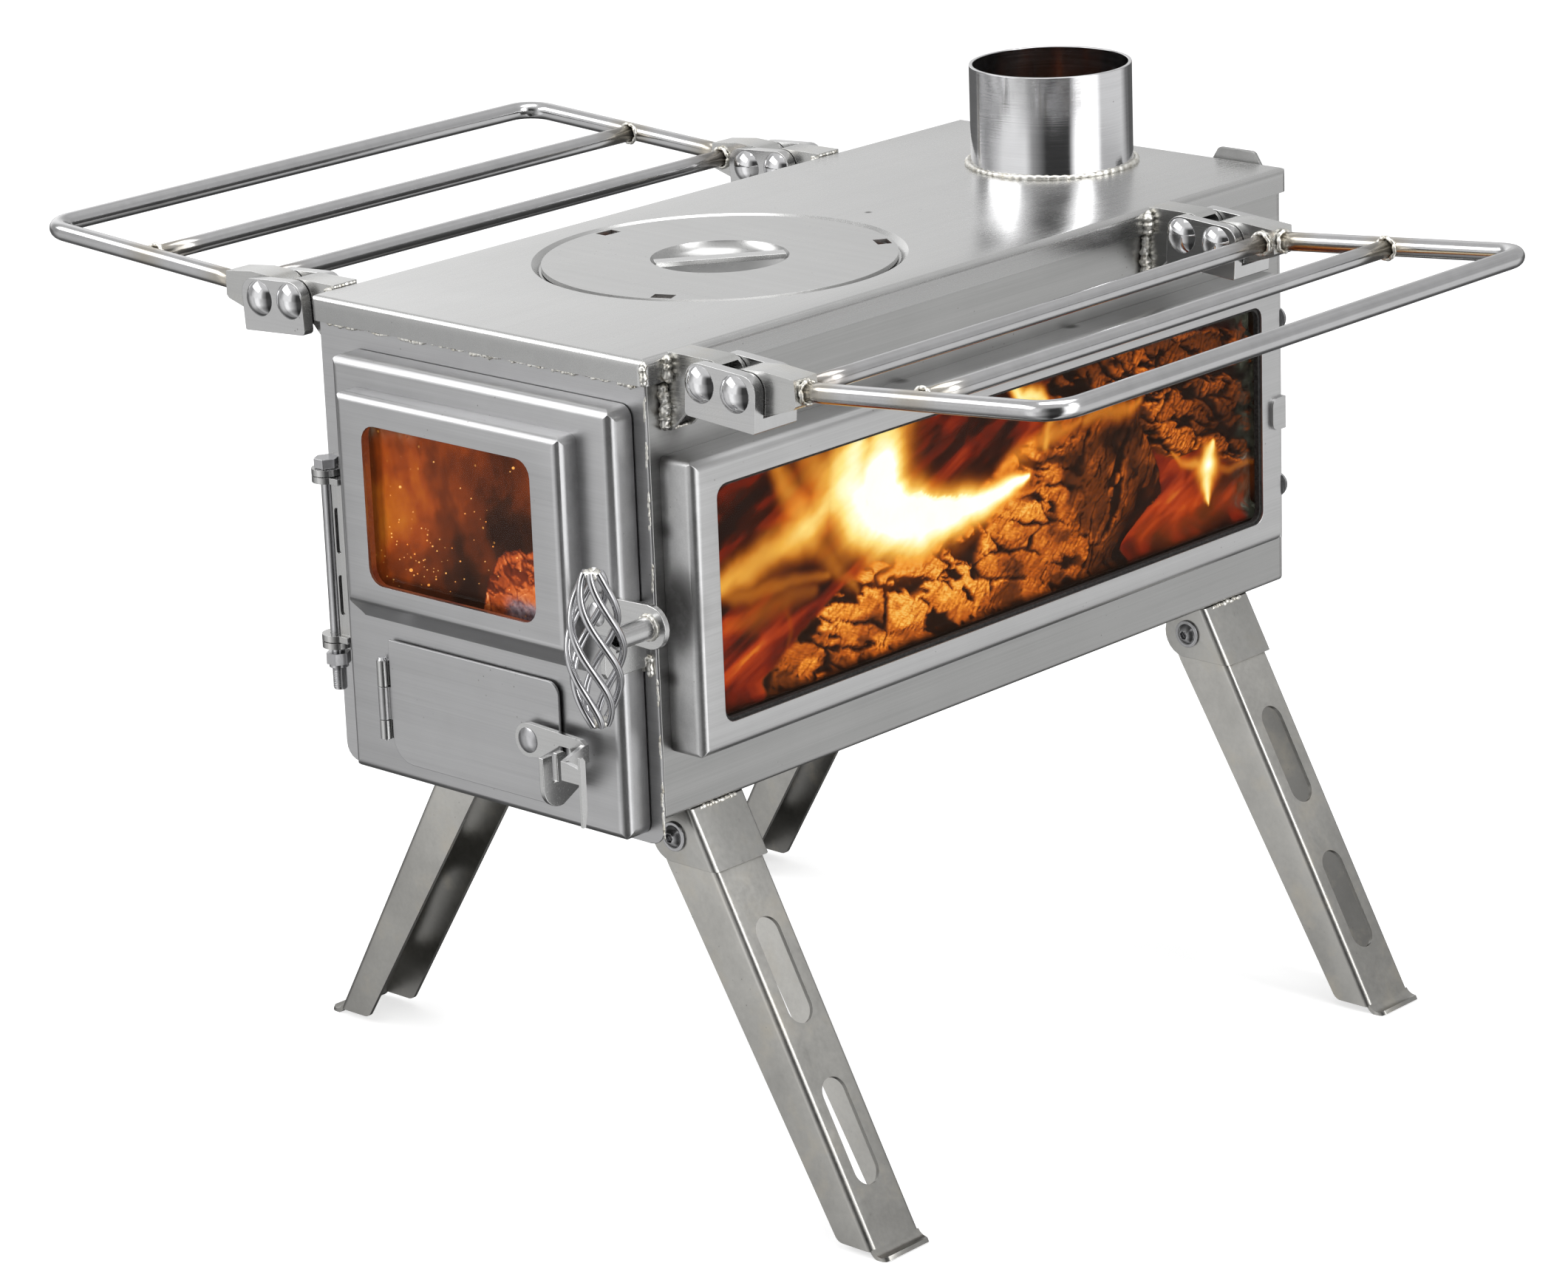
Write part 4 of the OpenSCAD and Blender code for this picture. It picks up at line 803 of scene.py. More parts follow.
def side_fire():
    u = np.linspace(-206.0, 194.0, 464)
    v = np.linspace(42.75, 150.25, 126)
    Y0, Z0 = np.meshgrid(u, v, indexing="ij")
    Y, Z = (Y0 - 7.0) / 1.036, (Z0 + 4.5) / 1.03
    wy = Y + 5.0 * (fbm(Y / 26, Z / 20, 3) - 0.5) + 2.0 * (fbm(Y / 7, Z / 6, 5) - 0.5)
    wz = Z + 5.0 * (fbm(Y / 24, Z / 22, 8) - 0.5) + 2.0 * (fbm(Y / 6, Z / 7, 9) - 0.5)
    rough = 1.6 * (fbm(Y / 5, Z / 5, 31, 3) - 0.5)
    top_a = np.interp(wy, [-178, -170, -147, -125, -105, -86, -61, -41, -21, -3, 16, 31, 55, 95], [38, 44, 60, 71, 80, 87, 92, 95, 102, 109, 116, 122, 126, 120])
    edge_r = np.interp(Z, [40, 49, 59, 66, 71, 83, 96, 110], [72, 80, 92, 103, 113, 112, 104, 96])
    din_a = np.minimum((top_a - Z + rough) * 0.85, edge_r - wy + rough)
    in_a = sst(-0.5, 0.9, din_a)
    top_b = np.interp(wy, [20, 27, 48, 68, 95, 122, 144, 166, 190], [130, 139, 144, 143, 147, 146, 143, 138, 134])
    bot_b = np.interp(wy, [20, 26, 68, 94, 110, 126, 143, 168, 190], [134, 124, 112, 103, 90, 83, 86, 72, 66])
    din_b = np.minimum(np.minimum(top_b - wz, wz - bot_b), wy - 24) + rough
    in_b = sst(-0.5, 0.9, din_b)
    # char on the near log: bold cracks across it, fine ones along it
    s = wy * math.cos(0.38) + wz * math.sin(0.38)
    q = -wy * math.sin(0.38) + wz * math.cos(0.38)

    def crackset(deg, seed, ls, lq, lo):
        a_ = math.radians(deg)
        sa = wy * math.cos(a_) + wz * math.sin(a_)
        qa = -wy * math.sin(a_) + wz * math.cos(a_)
        sw = sa + 8 * (fbm(sa / 16, qa / 9, seed + 1, 3) - 0.5)
        qw = qa + 6 * (fbm(sa / 14, qa / 8, seed + 2, 3) - 0.5)
        f1, f2, idn = cells(sw / ls, qw / lq, seed, 1.0)
        wide = 0.02 + 0.15 * np.clip((fbm(sa / 22, qa / 14, seed + 3, 3) - 0.48) * 4.2, 0, 1)
        dash = sst(lo, lo + 0.055, fbm(sw / 21, qw / 5.6, seed + 5, 4, 0.5)) * sst(0.36, 0.50, fbm(sa / 30, qa / 26, seed + 6, 2))
        return sst(0.0, 1.0, (f2 - f1) / wide) * (1 - dash), idn

    ck_l, id_l = crackset(-20, 12, 34.0, 13.5, 0.545)
    ck_r, id_r = crackset(58, 112, 26.0, 10.5, 0.572)
    w_r = sst(30, 64, Y + 14 * (fbm(Y / 12, Z / 12, 33) - 0.5))
    g1, g2, idb = cells(s / 8.4, q / 3.4, 77)
    w2 = 0.14 * np.clip((fbm(s / 12, q / 9, 61, 2) - 0.46) * 4, 0, 1) + 1e-3
    ck2 = 1 - 0.4 * (1 - sst(0.0, 1.0, (g2 - g1) / w2))
    char_a = ck2 * (ck_l * (1 - w_r) + ck_r * w_r)
    ida = id_l * (1 - w_r) + id_r * w_r
    # blocks on the rear log
    sb = wy * math.cos(0.30) - wz * math.sin(0.30)
    qb = wy * math.sin(0.30) + wz * math.cos(0.30)
    sbw = sb + 9 * (fbm(sb / 14, qb / 9, 551, 3) - 0.5)
    qbw = qb + 7 * (fbm(sb / 12, qb / 8, 552, 3) - 0.5)
    h1, h2, idc = cells(sbw / 24.0, qbw / 12.0, 55, 1.0)
    ckb = sst(0.0, 1.0, (h2 - h1) / (0.05 + 0.26 * np.clip((fbm(sb / 14, qb / 9, 553, 3) - 0.40) * 3.2, 0, 1))) * (1 - sst(0.57, 0.63, fbm(sbw / 13, qbw / 4, 451, 3)))
    k1, k2, idd = cells(sb / 9.0, qb / 2.6, 91)
    char_b = ckb * (1 - 0.5 * (1 - sst(0.0, 0.16, k2 - k1)))
    # relief
    round_a = np.sqrt(np.clip(din_a / 30.0, 0, 1))
    round_b = np.sqrt(np.clip(din_b / 11.0, 0, 1))
    fine = fbm(s / 2.6, q / 1.1, 23, 3) - 0.5
    Ha = 0.8 + 4.8 * round_a + 1.5 * (char_a - 0.6) + 0.9 * (ida - 0.5) + 0.7 * fine
    Hb = 0.5 + 3.2 * round_b + 2.4 * (char_b - 0.6) + 1.2 * (idc - 0.5) + 0.5 * fine
    Hbg = 0.4 * (fbm(Y / 14, Z / 14, 70) - 0.5)
    H = Hbg * (1 - in_b) + Hb * in_b
    H = H * (1 - in_a) + Ha * in_a
    # painted light and shade: the relief's slopes shade the char as if the flames lit it from the upper left
    dHy = np.gradient(H, u, axis=0)
    dHz = np.gradient(H, v, axis=1)
    nrm = np.sqrt(1 + (dHy * 1.3) ** 2 + (dHz * 1.3) ** 2)
    lit = (0.55 + 0.50 * dHy * 1.3 * -1 * -1 - 0.62 * dHz * 1.3) / nrm
    lit = np.clip(0.45 + 0.85 * lit, 0.05, 1.5)
    # how strongly the flames light each place
    patch = 0.70 + 0.62 * sst(0.34, 0.66, fbm(Y / 15, Z / 10, 470, 3))
    warm_a = 0.60 + 0.30 * blob(Y, Z, -62, 84, 60, 20) + 0.12 * blob(Y, Z, -120, 62, 40, 14) - 0.20 * sst(20, 100, Y) - 0.16 * sst(60, 44, Z) + 0.16 * blob(Y, Z, 10, 112, 30, 12)
    warm_a -= 0.26 * blob(Y, Z, 64, 107, 30, 9) + 0.06 * blob(Y, Z, 40, 60, 40, 10)
    ga = warm_a * patch * lit * (0.10 + 0.90 * char_a) * (0.82 + 0.36 * ida) * (0.86 + 0.28 * idb)
    warm_b = 0.50 + 0.20 * blob(Y, Z, 60, 128, 36, 14) + 0.18 * blob(Y, Z, 130, 88, 24, 12) - 0.22 * sst(128, 150, Z)
    warm_b -= 0.34 * blob(Y, Z, 156, 96, 26, 16) + 0.18 * blob(Y, Z, 166, 140, 20, 12)
    gb = warm_b * lit * (0.04 + 0.96 * char_b) * (0.50 + 0.80 * idc)
    # air behind: dark red with orange wisps
    d1 = (Y * 0.8 + Z * 1.5)
    d2 = (-Y * 0.55 + Z * 1.2)
    wis = fbm(d1 / 52 + 0.8 * fbm(Y / 30, Z / 26, 84), d2 / 13, 90, 5, 0.55)
    air = 0.22 + 1.25 * (wis - 0.5)
    air += 0.16 * blob(Y, Z, -104, 118, 36, 24) + 0.20 * blob(Y, Z, -170, 62, 34, 20) - 0.20 * blob(Y, Z, -190, 140, 26, 16)
    air += 0.14 * blob(Y, Z, -30, 128, 26, 14) + 0.30 * blob(Y, Z, 138, 66, 40, 22) - 0.10 * blob(Y, Z, -110, 60, 20, 14)
    air -= 0.30 * sst(134, 150, Z) * sst(30, 90, Y) + 0.40 * blob(Y, Z, 99, 96, 9, 7)
    air = np.clip(air, 0.03, 0.93)
    # the logs' glow: the embers' own glow together with painted firelight and painted shade from ga and gb
    glow = air * (1 - in_b) + np.clip(gb, 0, 1) * in_b
    glow = glow * (1 - in_a) + np.clip(0.84 * ga, 0, 0.92) * in_a
    # painted shade: the fire darker along the bottom edge under the frame and in the upper front corner
    painted_edge_shade = 1 - 0.6 * sst(46.0, 42.8, Z0 + 1.5 * (fbm(Y / 9, Z, 14) - 0.5))
    painted_edge_shade *= 1 - 0.5 * blob(Y0, Z0, -206, 150, 30, 20)
    glow = glow * painted_edge_shade
    kind = np.maximum(in_a * (1 - 0.55 * blob(Y, Z, 104, 64, 22, 18)), in_b)
    soot = sst(177.0, 184.5, Y0 + 5 * (fbm(Y / 5, Z / 5, 19) - 0.5)) * (0.55 + 0.45 * sst(0.45, 0.6, fbm(Y / 4, Z / 6, 29)))
    soot = np.maximum(soot, sst(187.5, 189.5, Y0))
    soot = np.maximum(soot, 0.6 * sst(138, 149, Z0) * sst(80, 150, Y0))
    sheet("fire_logs_side", fire_scene_material("burning_logs", (0.35, 0, 0)), "stove", "x", u, v, 103.4 + np.maximum(np.clip(H, -0.8, 7.9), 8.6 * sst(49.0, 43.2, Z0)), {"glow": glow, "kind": kind, "soot": soot})

    # flames in front of the logs
    fu = np.linspace(-205.0, 188.0, 394)
    fv = np.linspace(43.5, 149.8, 108)
    Y0, Z0 = np.meshgrid(fu, fv, indexing="ij")
    Y, Z = (Y0 - 7.0) / 1.036, (Z0 + 4.5) / 1.03
    Y2 = Y + 8.0 * (fbm(Y / 21, Z / 21, 203, 4) - 0.5)
    Z2 = Z + 7.0 * (fbm(Y / 19, Z / 23, 207, 4) - 0.5)
    f = np.zeros(Y.shape)
    core = lick(Y2, Z2, [(-86, 150, 13), (-87, 138, 14), (-89, 125, 16), (-85, 116, 16), (-74, 108, 14.5), (-58, 103, 12), (-40, 100, 9.6), (-20, 99, 7.6), (-4, 102, 5.0), (8, 105, 1.6)], 0.98)
    body = lick(Y2, Z2, [(-104, 150, 9), (-108, 138, 14), (-108, 126, 20), (-102, 113, 19), (-86, 103, 15), (-66, 96, 12)])
    core = core * (1 - 0.50 * sst(128, 148, Z))
    f = np.maximum(f, 1.16 * core ** 0.8)
    f = np.maximum(f, 0.80 * body) + 0.30 * np.minimum(f, 0.80 * body)
    for amp, soft, pts in (
            (0.42, 1.5, [(-134, 152, 8), (-130, 139, 9), (-113, 126, 13), (-104, 110, 13), (-85, 97, 8), (-61, 89, 5)]),
            (0.46, 1.9, [(-154, 152, 4), (-151, 141, 4.4), (-146, 130, 6), (-139, 119, 7), (-136, 112, 6)]),
            (0.62, 1.9, [(-118, 128, 5), (-130, 119, 6.4), (-149, 112, 6.0), (-167, 109, 5.6), (-181, 106, 4.8), (-199, 103, 4.2)]),
            (0.34, 2.0, [(-203, 101, 1.7), (-191, 99, 2.2), (-173, 96, 3.4), (-150, 93, 3), (-124, 91, 1.4)]),
            (0.30, 2.2, [(-186, 85, 2.9), (-169, 85, 5.0), (-152, 86, 3.8), (-134, 86, 1.7)]),
            (0.24, 1.3, [(-152, 81, 2.2), (-152, 71, 2.0), (-154, 60, 0.9)]),
            (0.30, 2.0, [(-137, 112, 5.2), (-123, 97, 4.0), (-105, 80, 1.0)]),
            (0.42, 1.9, [(-9, 114, 1.8), (3, 117, 3.2), (18, 119, 3.6), (34, 121, 3.0), (44, 123, 1.4)]),
            (0.50, 1.9, [(20, 115, 2.1), (23, 122, 2.6), (28, 127, 2.2), (27, 134, 1.6)]),
            (0.85, 1.5, [(2, 150, 3.0), (6, 143, 3.4), (16, 138, 4.0), (24, 133, 2.2)]),
            (0.46, 2.0, [(48, 121, 2.1), (62, 121, 4.2), (80, 119, 3.0), (87, 122, 1.4)]),
            (0.90, 1.6, [(143, 90, 1.0), (139, 84, 4.2), (138, 77, 6.4), (137, 71, 4.8), (137, 65, 2.6), (138, 60, 0.8)]),
            (0.50, 1.5, [(112, 93, 0.8), (119, 87, 2.2), (131, 82, 2.6), (142, 80, 2.4)]),
            (0.34, 1.7, [(140, 81, 1.7), (154, 75, 2.3), (170, 72, 1.4)]),
            (0.22, 2.0, [(88, 58, 6), (112, 58, 8), (140, 58, 8), (168, 64, 6)])):
        f = np.maximum(f, amp * lick(Y2, Z2, pts, soft)) + 0.18 * np.minimum(f, amp * lick(Y2, Z2, pts, soft))
    halo = 0.40 * lick(Y2, Z2, [(-76, 150, 24), (-92, 128, 34), (-84, 110, 36), (-55, 100, 26), (-15, 100, 17), (6, 104, 9)]) ** 1.2
    wisp = fbm((Y + Z) / 40 + 0.7 * fbm(Y / 18, Z / 18, 91, 3), (Z - 0.45 * Y) / 7, 95, 4)
    f = f + halo * (0.55 + 0.9 * wisp) * (1 - np.clip(f, 0, 1))
    f = f * (0.90 + 0.2 * wisp)
    f = f - 0.025
    # the dark bay beside the big flame
    f = f * (1 - 0.65 * blob(Y, Z, -44, 122, 17, 13) * (f < 0.9))
    t = Tree("flame_look")
    fl = attr(t, "lick")
    n1 = t.noise(t.mapped(t.obj, (1, 0.6, 1.4), rot=(0.5, 0, 0)), 60.0, 3.0, 0.55)
    fl = t.math("MULTIPLY", fl, t.math("ADD", 0.9, t.math("MULTIPLY", n1, 0.2)))
    t.set("Base Color", (0.0, 0.0, 0.0, 1))
    t.set("Roughness", 1.0)
    t.set("Specular IOR Level", 0.0)
    t.set("Emission Color", t.ramp(fl, [(0.0, (0.45, 0.05, 0.0)), (0.20, (0.80, 0.15, 0.008)), (0.42, (1.0, 0.31, 0.025)), (0.62, (1.0, 0.50, 0.07)), (0.80, (1.0, 0.78, 0.24)), (0.94, (1.0, 0.97, 0.62)), (1.0, (1.0, 1.0, 0.90))]))
    t.set("Emission Strength", t.rng(fl, 0.3, 1.0, 0.95, 1.2))
    t.set("Alpha", t.rng(fl, 0.02, 0.80, 0.0, 1.0, smooth=True))
    X = 112.35 + 0.25 * np.sin(Y / 23.0) * np.cos(Z / 17.0)
    sheet("fire_flames_side", t.mat, "stove", "x", fu, fv, X, {"lick": np.clip(f, 0, 1.3)}, keep=f > 0.0)


side_fire()


def door_fire():
    u = np.linspace(-64.4, 64.0, 216)
    v = np.linspace(72.5, 172.5, 168)
    X, Z = np.meshgrid(u, v, indexing="ij")
    X, Z = X - 7.0, Z - 6.6
    wx = X + 7 * (fbm(X / 20, Z / 20, 303) - 0.5)
    wz = Z + 7 * (fbm(X / 20, Z / 20, 305) - 0.5)
    st = fbm(wx / 9 + 0.25 * wz / 9, wz / 26, 311, 4)
    st2 = fbm((wx + wz) / 16, (wx - wz) / 9, 313, 4)
    g = 0.42 + 0.44 * blob(wx, wz, -48, 113, 22, 20) + 0.20 * blob(wx, wz, -64, 98, 12, 20) + 0.16 * blob(wx, wz, -56, 140, 18, 10)
    g -= 0.40 * blob(wx, wz, 26, 118, 22, 14) + 0.42 * blob(wx, wz, -4, 84, 18, 13) + 0.20 * blob(wx, wz, -14, 104, 14, 12) + 0.16 * blob(wx, wz, -46, 96, 13, 8)
    g -= 0.10 * blob(wx, wz, 14, 142, 26, 12) + 0.10 * blob(wx, wz, 34, 96, 20, 20)
    g += 0.34 * (st - 0.5) + 0.26 * (st2 - 0.5)
    g = np.clip(g, 0.03, 0.95)
    # the glowing lump low at the right
    top = np.interp(X, [2.5, 4, 8, 15, 20, 29, 33, 40, 52], [70, 77, 91, 103, 107, 110, 108, 113, 114])
    rough = 2.4 * (fbm(X / 4, Z / 4, 321, 3) - 0.5)
    din = np.minimum(top - Z + rough, (X - 3) * 0.9 + rough)
    inn = sst(-0.3, 0.8, din)
    cxx = X + 5 * (fbm(X / 8, Z / 8, 331) - 0.5)
    czz = Z + 5 * (fbm(X / 8, Z / 8, 332) - 0.5)
    f1, f2, idn = cells((cxx * 0.75 + czz * 0.45) / 15.0, (czz * 0.75 - cxx * 0.6) / 7.0, 340, 1.0)
    fold = np.abs(fbm((X * 0.6 + Z) / 15 + 0.5 * fbm(X / 12, Z / 12, 347, 3), (X - Z * 0.5) / 26, 348, 3) - 0.5)
    crease = (1 - 0.45 * (1 - sst(0.0, 0.10, f2 - f1))) * (0.20 + 0.80 * sst(0.0, 0.045, fold)) * (1 - 0.8 * sst(0.60, 0.68, fbm(cxx / 9, czz / 3.4, 346, 3)))
    f3, f4, id2 = cells(X / 3.1, Z / 2.6, 350, 0.9)
    H = inn * (0.8 + 3.0 * np.sqrt(np.clip(din / 14, 0, 1)) + 1.3 * (crease - 0.5) + 1.6 * (idn - 0.5) + 0.9 * (fbm(X / 2.2, Z / 1.6, 360, 3) - 0.5))
    # painted light and shade: the lump's slopes shade its glow as if lit from one side
    dx = np.gradient(H, u, axis=0)
    dz = np.gradient(H, v, axis=1)
    lit = np.clip(0.62 - 0.42 * dx - 0.30 * dz, 0.08, 1.4)
    lump = (0.44 + 0.50 * idn) * lit * (0.25 + 0.75 * crease) * (0.86 + 0.28 * id2) + 0.12 * blob(X, Z, 30, 88, 12, 9)
    edge = sst(3.0, 0.0, din)
    lump = lump * (1 - 0.45 * edge)
    ash = sst(90, 82, Z + 3 * (fbm(X / 4, Z / 4, 371) - 0.5)) * sst(16, 26, X) * inn
    glow = g * (1 - inn) + np.clip(lump, 0.02, 1.0) * inn
    t = Tree("door_fire_look")
    gl_, kd, sm, ro = attr(t, "glow"), attr(t, "kind"), attr(t, "ash"), attr(t, "pale")
    n1 = t.noise(t.obj, 420.0, 4.0, 0.65)
    n2 = t.noise(t.mapped(t.obj, (1, 1, 0.4)), 130.0, 4.0, 0.6)
    k = t.math("ADD", 1.0, t.math("ADD", t.math("MULTIPLY", t.math("SUBTRACT", n1, 0.5), 0.22), t.math("MULTIPLY", t.math("SUBTRACT", n2, 0.5), 0.36)))
    a = t.math("MULTIPLY", gl_, k)
    smoky = t.ramp(a, [(0.0, (0.006, 0.004, 0.003)), (0.18, (0.035, 0.011, 0.005)), (0.40, (0.16, 0.030, 0.007)), (0.60, (0.36, 0.062, 0.009)), (0.80, (0.52, 0.125, 0.012)), (1.0, (0.62, 0.20, 0.016))])
    k2 = t.math("MULTIPLY", gl_, t.math("ADD", 1.0, t.math("MULTIPLY", t.math("SUBTRACT", n1, 0.5), 0.9)))
    coal = t.ramp(k2, [(0.0, (0.02, 0.004, 0.002)), (0.22, (0.20, 0.03, 0.01)), (0.45, (0.62, 0.11, 0.02)), (0.70, (0.85, 0.26, 0.07)), (0.9, (0.95, 0.50, 0.22)), (1.0, (1.0, 0.72, 0.45))])
    col = t.mix(kd, smoky, coal)
    col = t.mix(sm, col, t.ramp(n1, [(0.35, (0.10, 0.07, 0.09)), (0.7, (0.42, 0.36, 0.40))]))
    col = t.mix(ro, col, t.ramp(n2, [(0.4, (0.20, 0.10, 0.03)), (0.65, (0.50, 0.46, 0.34))]))
    # bubbles and specks in the glass' deposit
    vv = t.voro(t.obj, 150.0, "F1")
    sp_ = t.math("MULTIPLY", t.rng(vv, 0.05, 0.11, 1.0, 0.0, smooth=True), t.rng(t.noise(t.obj, 34.0, 2.0), 0.50, 0.60))
    col = t.mix(t.math("MULTIPLY", sp_, 0.8), col, (0.85, 0.36, 0.07, 1))
    vd = t.voro(t.mapped(t.obj, loc=(0.31, 0.17, 0.4)), 90.0, "F1")
    sd = t.math("MULTIPLY", t.rng(vd, 0.04, 0.08, 1.0, 0.0, smooth=True), t.rng(t.noise(t.mapped(t.obj, loc=(4, 1, 1)), 30.0, 2.0), 0.52, 0.6))
    col = t.mix(t.math("MULTIPLY", sd, 0.85), col, (0.05, 0.01, 0.006, 1))
    col = t.mix(t.spot((-62.5, -238.0, 128.0), 3.6, 4.4), col, (0.045, 0.018, 0.012, 1))
    t.set("Base Color", (0.02, 0.008, 0.005, 1))
    t.set("Roughness", 0.85)
    t.set("Specular IOR Level", 0.1)
    t.set("Emission Color", col)
    t.set("Emission Strength", 1.0)
    pale = 0.75 * blob(wx, wz, -62, 150, 8, 5) + 0.6 * blob(wx, wz, -42, 152, 5, 4) + 0.35 * blob(wx, wz, -68, 140, 4, 8)
    pale = np.clip(pale * (0.4 + 1.2 * (fbm(X / 3, Z / 3, 391) - 0.2)), 0, 0.85)
    sheet("fire_glow_door", t.mat, "door", "y", u, v, -237.25 - 0.17 * np.clip(H, -1, 4.9), {"glow": glow, "kind": inn, "ash": ash * 0.85, "pale": pale})


door_fire()


def charred(name, glow_amt):
    """char split into plates by dark cracks, lit from within"""
    t = Tree(name)
    vec = t.mapped(t.obj, (30, 46, 46))
    warp = t.vmath("ADD", vec, t.vmath("MULTIPLY", t.noise(vec, 1.2, 3.0, 0.6, out="Color"), (0.8, 0.8, 0.8)))
    e = t.voro(warp, 1.0)
    fib = t.noise(t.mapped(vec, (0.6, 9, 9)), 2.2, 4.0, 0.7)
    shade = t.math("MULTIPLY", t.rng(e, 0.01, 0.09, 0.0, 1.0, smooth=True), t.rng(fib, 0.3, 0.7, 0.45, 1.25))
    heat = t.math("MULTIPLY", shade, t.rng(t.noise(t.obj, 16.0, 3.0, 0.5), 0.3, 0.7, 0.25, 0.95))
    t.set("Base Color", (0.02, 0.012, 0.009, 1))
    t.set("Roughness", 0.85)
    t.set("Emission Color", t.ramp(heat, EMBER_LOG))
    t.set("Emission Strength", glow_amt)
    t.set("Normal", t.bump(shade, 1.0, 0.004))
    return t.mat


M["log2"] = charred("charred_log", 0.8)


def log_mesh(name, a, b, r0, r1, mat, seed, nu=110, nv=64):
    """a burnt log from a to b (mm), its plates of char standing proud"""
    A, B = W(*a), W(*b)
    ax_ = (B - A).normalized()
    up_ = Vector((0, 0, 1))
    u_ = ax_.cross(up_).normalized()
    w_ = u_.cross(ax_)
    L = (B - A).length
    S, TH = np.meshgrid(np.linspace(0, 1, nu + 1), np.arange(nv) / nv * 2 * math.pi, indexing="ij")
    f1, f2, idn = cells(S * L * 1000 / 22.0 + seed, (np.cos(TH) * 1.9 + 40) + np.sin(TH) * 1.9 * 0.37 + np.sin(TH) * 2.1, seed)
    nz = fbm(S * L * 1000 / 8 + seed, np.cos(TH) * 3 + np.sin(TH) * 2 + 30, seed + 3)
    rb = (r0 + (r1 - r0) * S) * (0.55 + 0.45 * np.sin(0.5 * math.pi * np.clip(np.minimum(S, 1 - S) / 0.05, 0, 1)))
    Rr = rb + 3.0 * sst(0, 0.3, f2 - f1) - 1.6 + 3.0 * (nz - 0.5)
    verts = []
    for i in range(nu + 1):
        p = A + ax_ * (L * i / nu) + up_ * (0.004 * math.sin(i / nu * 5 + seed))
        for j in range(nv):
            verts.append(p + (u_ * math.cos(TH[i, j]) + w_ * math.sin(TH[i, j])) * (float(Rr[i, j]) / 1000.0))
    faces = [(i * nv + j, (i + 1) * nv + j, (i + 1) * nv + (j + 1) % nv, i * nv + (j + 1) % nv) for i in range(nu) for j in range(nv)]
    faces.append(tuple(range(nv)))
    faces.append(tuple(nu * nv + j for j in range(nv - 1, -1, -1)))
    return make(name, verts, faces, mat, "stove")


log_mesh("fire_log_main", (56, -176, 50), (44, 196, 78), 20, 30, M["log2"], 3)
log_mesh("fire_log_rear", (-8, -40, 60), (14, 205, 118), 22, 32, M["log2"], 8)
log_mesh("fire_log_left", (-58, -190, 50), (-50, 150, 66), 26, 34, M["log2"], 14)


def ember_bed():
    t = Tree("ember_bed_look")
    e = t.voro(t.mapped(t.obj, (1, 1, 1)), 55.0)
    n1 = t.noise(t.obj, 30.0, 4.0, 0.6)
    h = t.math("MULTIPLY", t.rng(e, 0.0, 0.25, 1.0, 0.15), t.rng(n1, 0.35, 0.7, 0.1, 1.4))
    t.set("Base Color", (0.02, 0.015, 0.012, 1))
    t.set("Roughness", 0.9)
    t.set("Emission Color", t.ramp(h, EMBER_AIR))
    t.set("Emission Strength", 1.1)
    nx, ny = 60, 130
    V, F = [], []
    for i in range(nx + 1):
        for j in range(ny + 1):
            x = -97 + 194 * i / nx
            y = -212 + 428 * j / ny
            z = 27 + 7 * (0.5 + noise.noise(Vector((x * 0.06, y * 0.06, 3)))) + 8 * abs(noise.noise(Vector((x * 0.16, y * 0.16, 9))))
            V.append(W(x, y, z))
    for i in range(nx):
        for j in range(ny):
            a = i * (ny + 1) + j
            F.append((a, a + ny + 1, a + ny + 2, a + 1))
    make("fire_ember_bed", V, F, t.mat, "stove")


ember_bed()


def sparks():
    t = Tree("spark_look")
    hot = t.noise(t.obj, 400.0, 2.0)
    t.set("Base Color", (0.1, 0.03, 0.0, 1))
    t.set("Emission Color", t.ramp(hot, [(0.3, (1.0, 0.30, 0.03)), (0.7, (1.0, 0.62, 0.18))]))
    t.set("Emission Strength", 1.1)
    parts = []
    pr = random.Random(5)
    for i in range(90):
        if i < 46:
            x, z = pr.gauss(-40, 11), pr.gauss(92, 8)
        else:
            x, z = pr.uniform(-66, 30), pr.uniform(82, 148)
        x, z = min(max(x, -67), 40), min(max(z, 72), 160)
        r = pr.uniform(0.14, 0.42) * (2.1 if pr.random() < 0.10 else 1.0)
        bm = bmesh.new()
        bmesh.ops.create_icosphere(bm, subdivisions=1, radius=r / 1000.0)
        V = [v_.co + W(x + 8.0, -238.35, z + 5.5) for v_ in bm.verts]
        F = [tuple(v_.index for v_ in f_.verts) for f_ in bm.faces]
        bm.free()
        parts.append((V, F))
    v, f = join(parts)
    make("fire_sparks", v, f, t.mat, "door")


sparks()

# ------------------------------------------------------------------ stage, lights, camera
floor_t = Tree("studio_floor")
floor_t.set("Base Color", (0.62, 0.62, 0.62, 1))
floor_t.set("Roughness", 0.9)
floor_t.set("Specular IOR Level", 0.0)
floor_t.set("Emission Color", (1, 1, 1, 1))
floor_t.set("Emission Strength", 0.62)
me = bpy.data.meshes.new("studio_floor")
R = 14.0
me.from_pydata([(-R, -R, 0), (R, -R, 0), (R, R, 0), (-R, R, 0)], [], [(0, 1, 2, 3)])
me.materials.append(floor_t.mat)
floor = bpy.data.objects.new("studio_floor", me)
bpy.context.scene.collection.objects.link(floor)
floor.visible_glossy = False

# the room around the stove: pale above, with lighter and darker walls at the sides
world = bpy.data.worlds.new("studio")
bpy.context.scene.world = world
world.use_nodes = True
wt = world.node_tree
bg = wt.nodes["Background"]


def wn(kind, **kw):
    n_ = wt.nodes.new(kind)
    for k, x in kw.items():
        setattr(n_, k, x)
    return n_


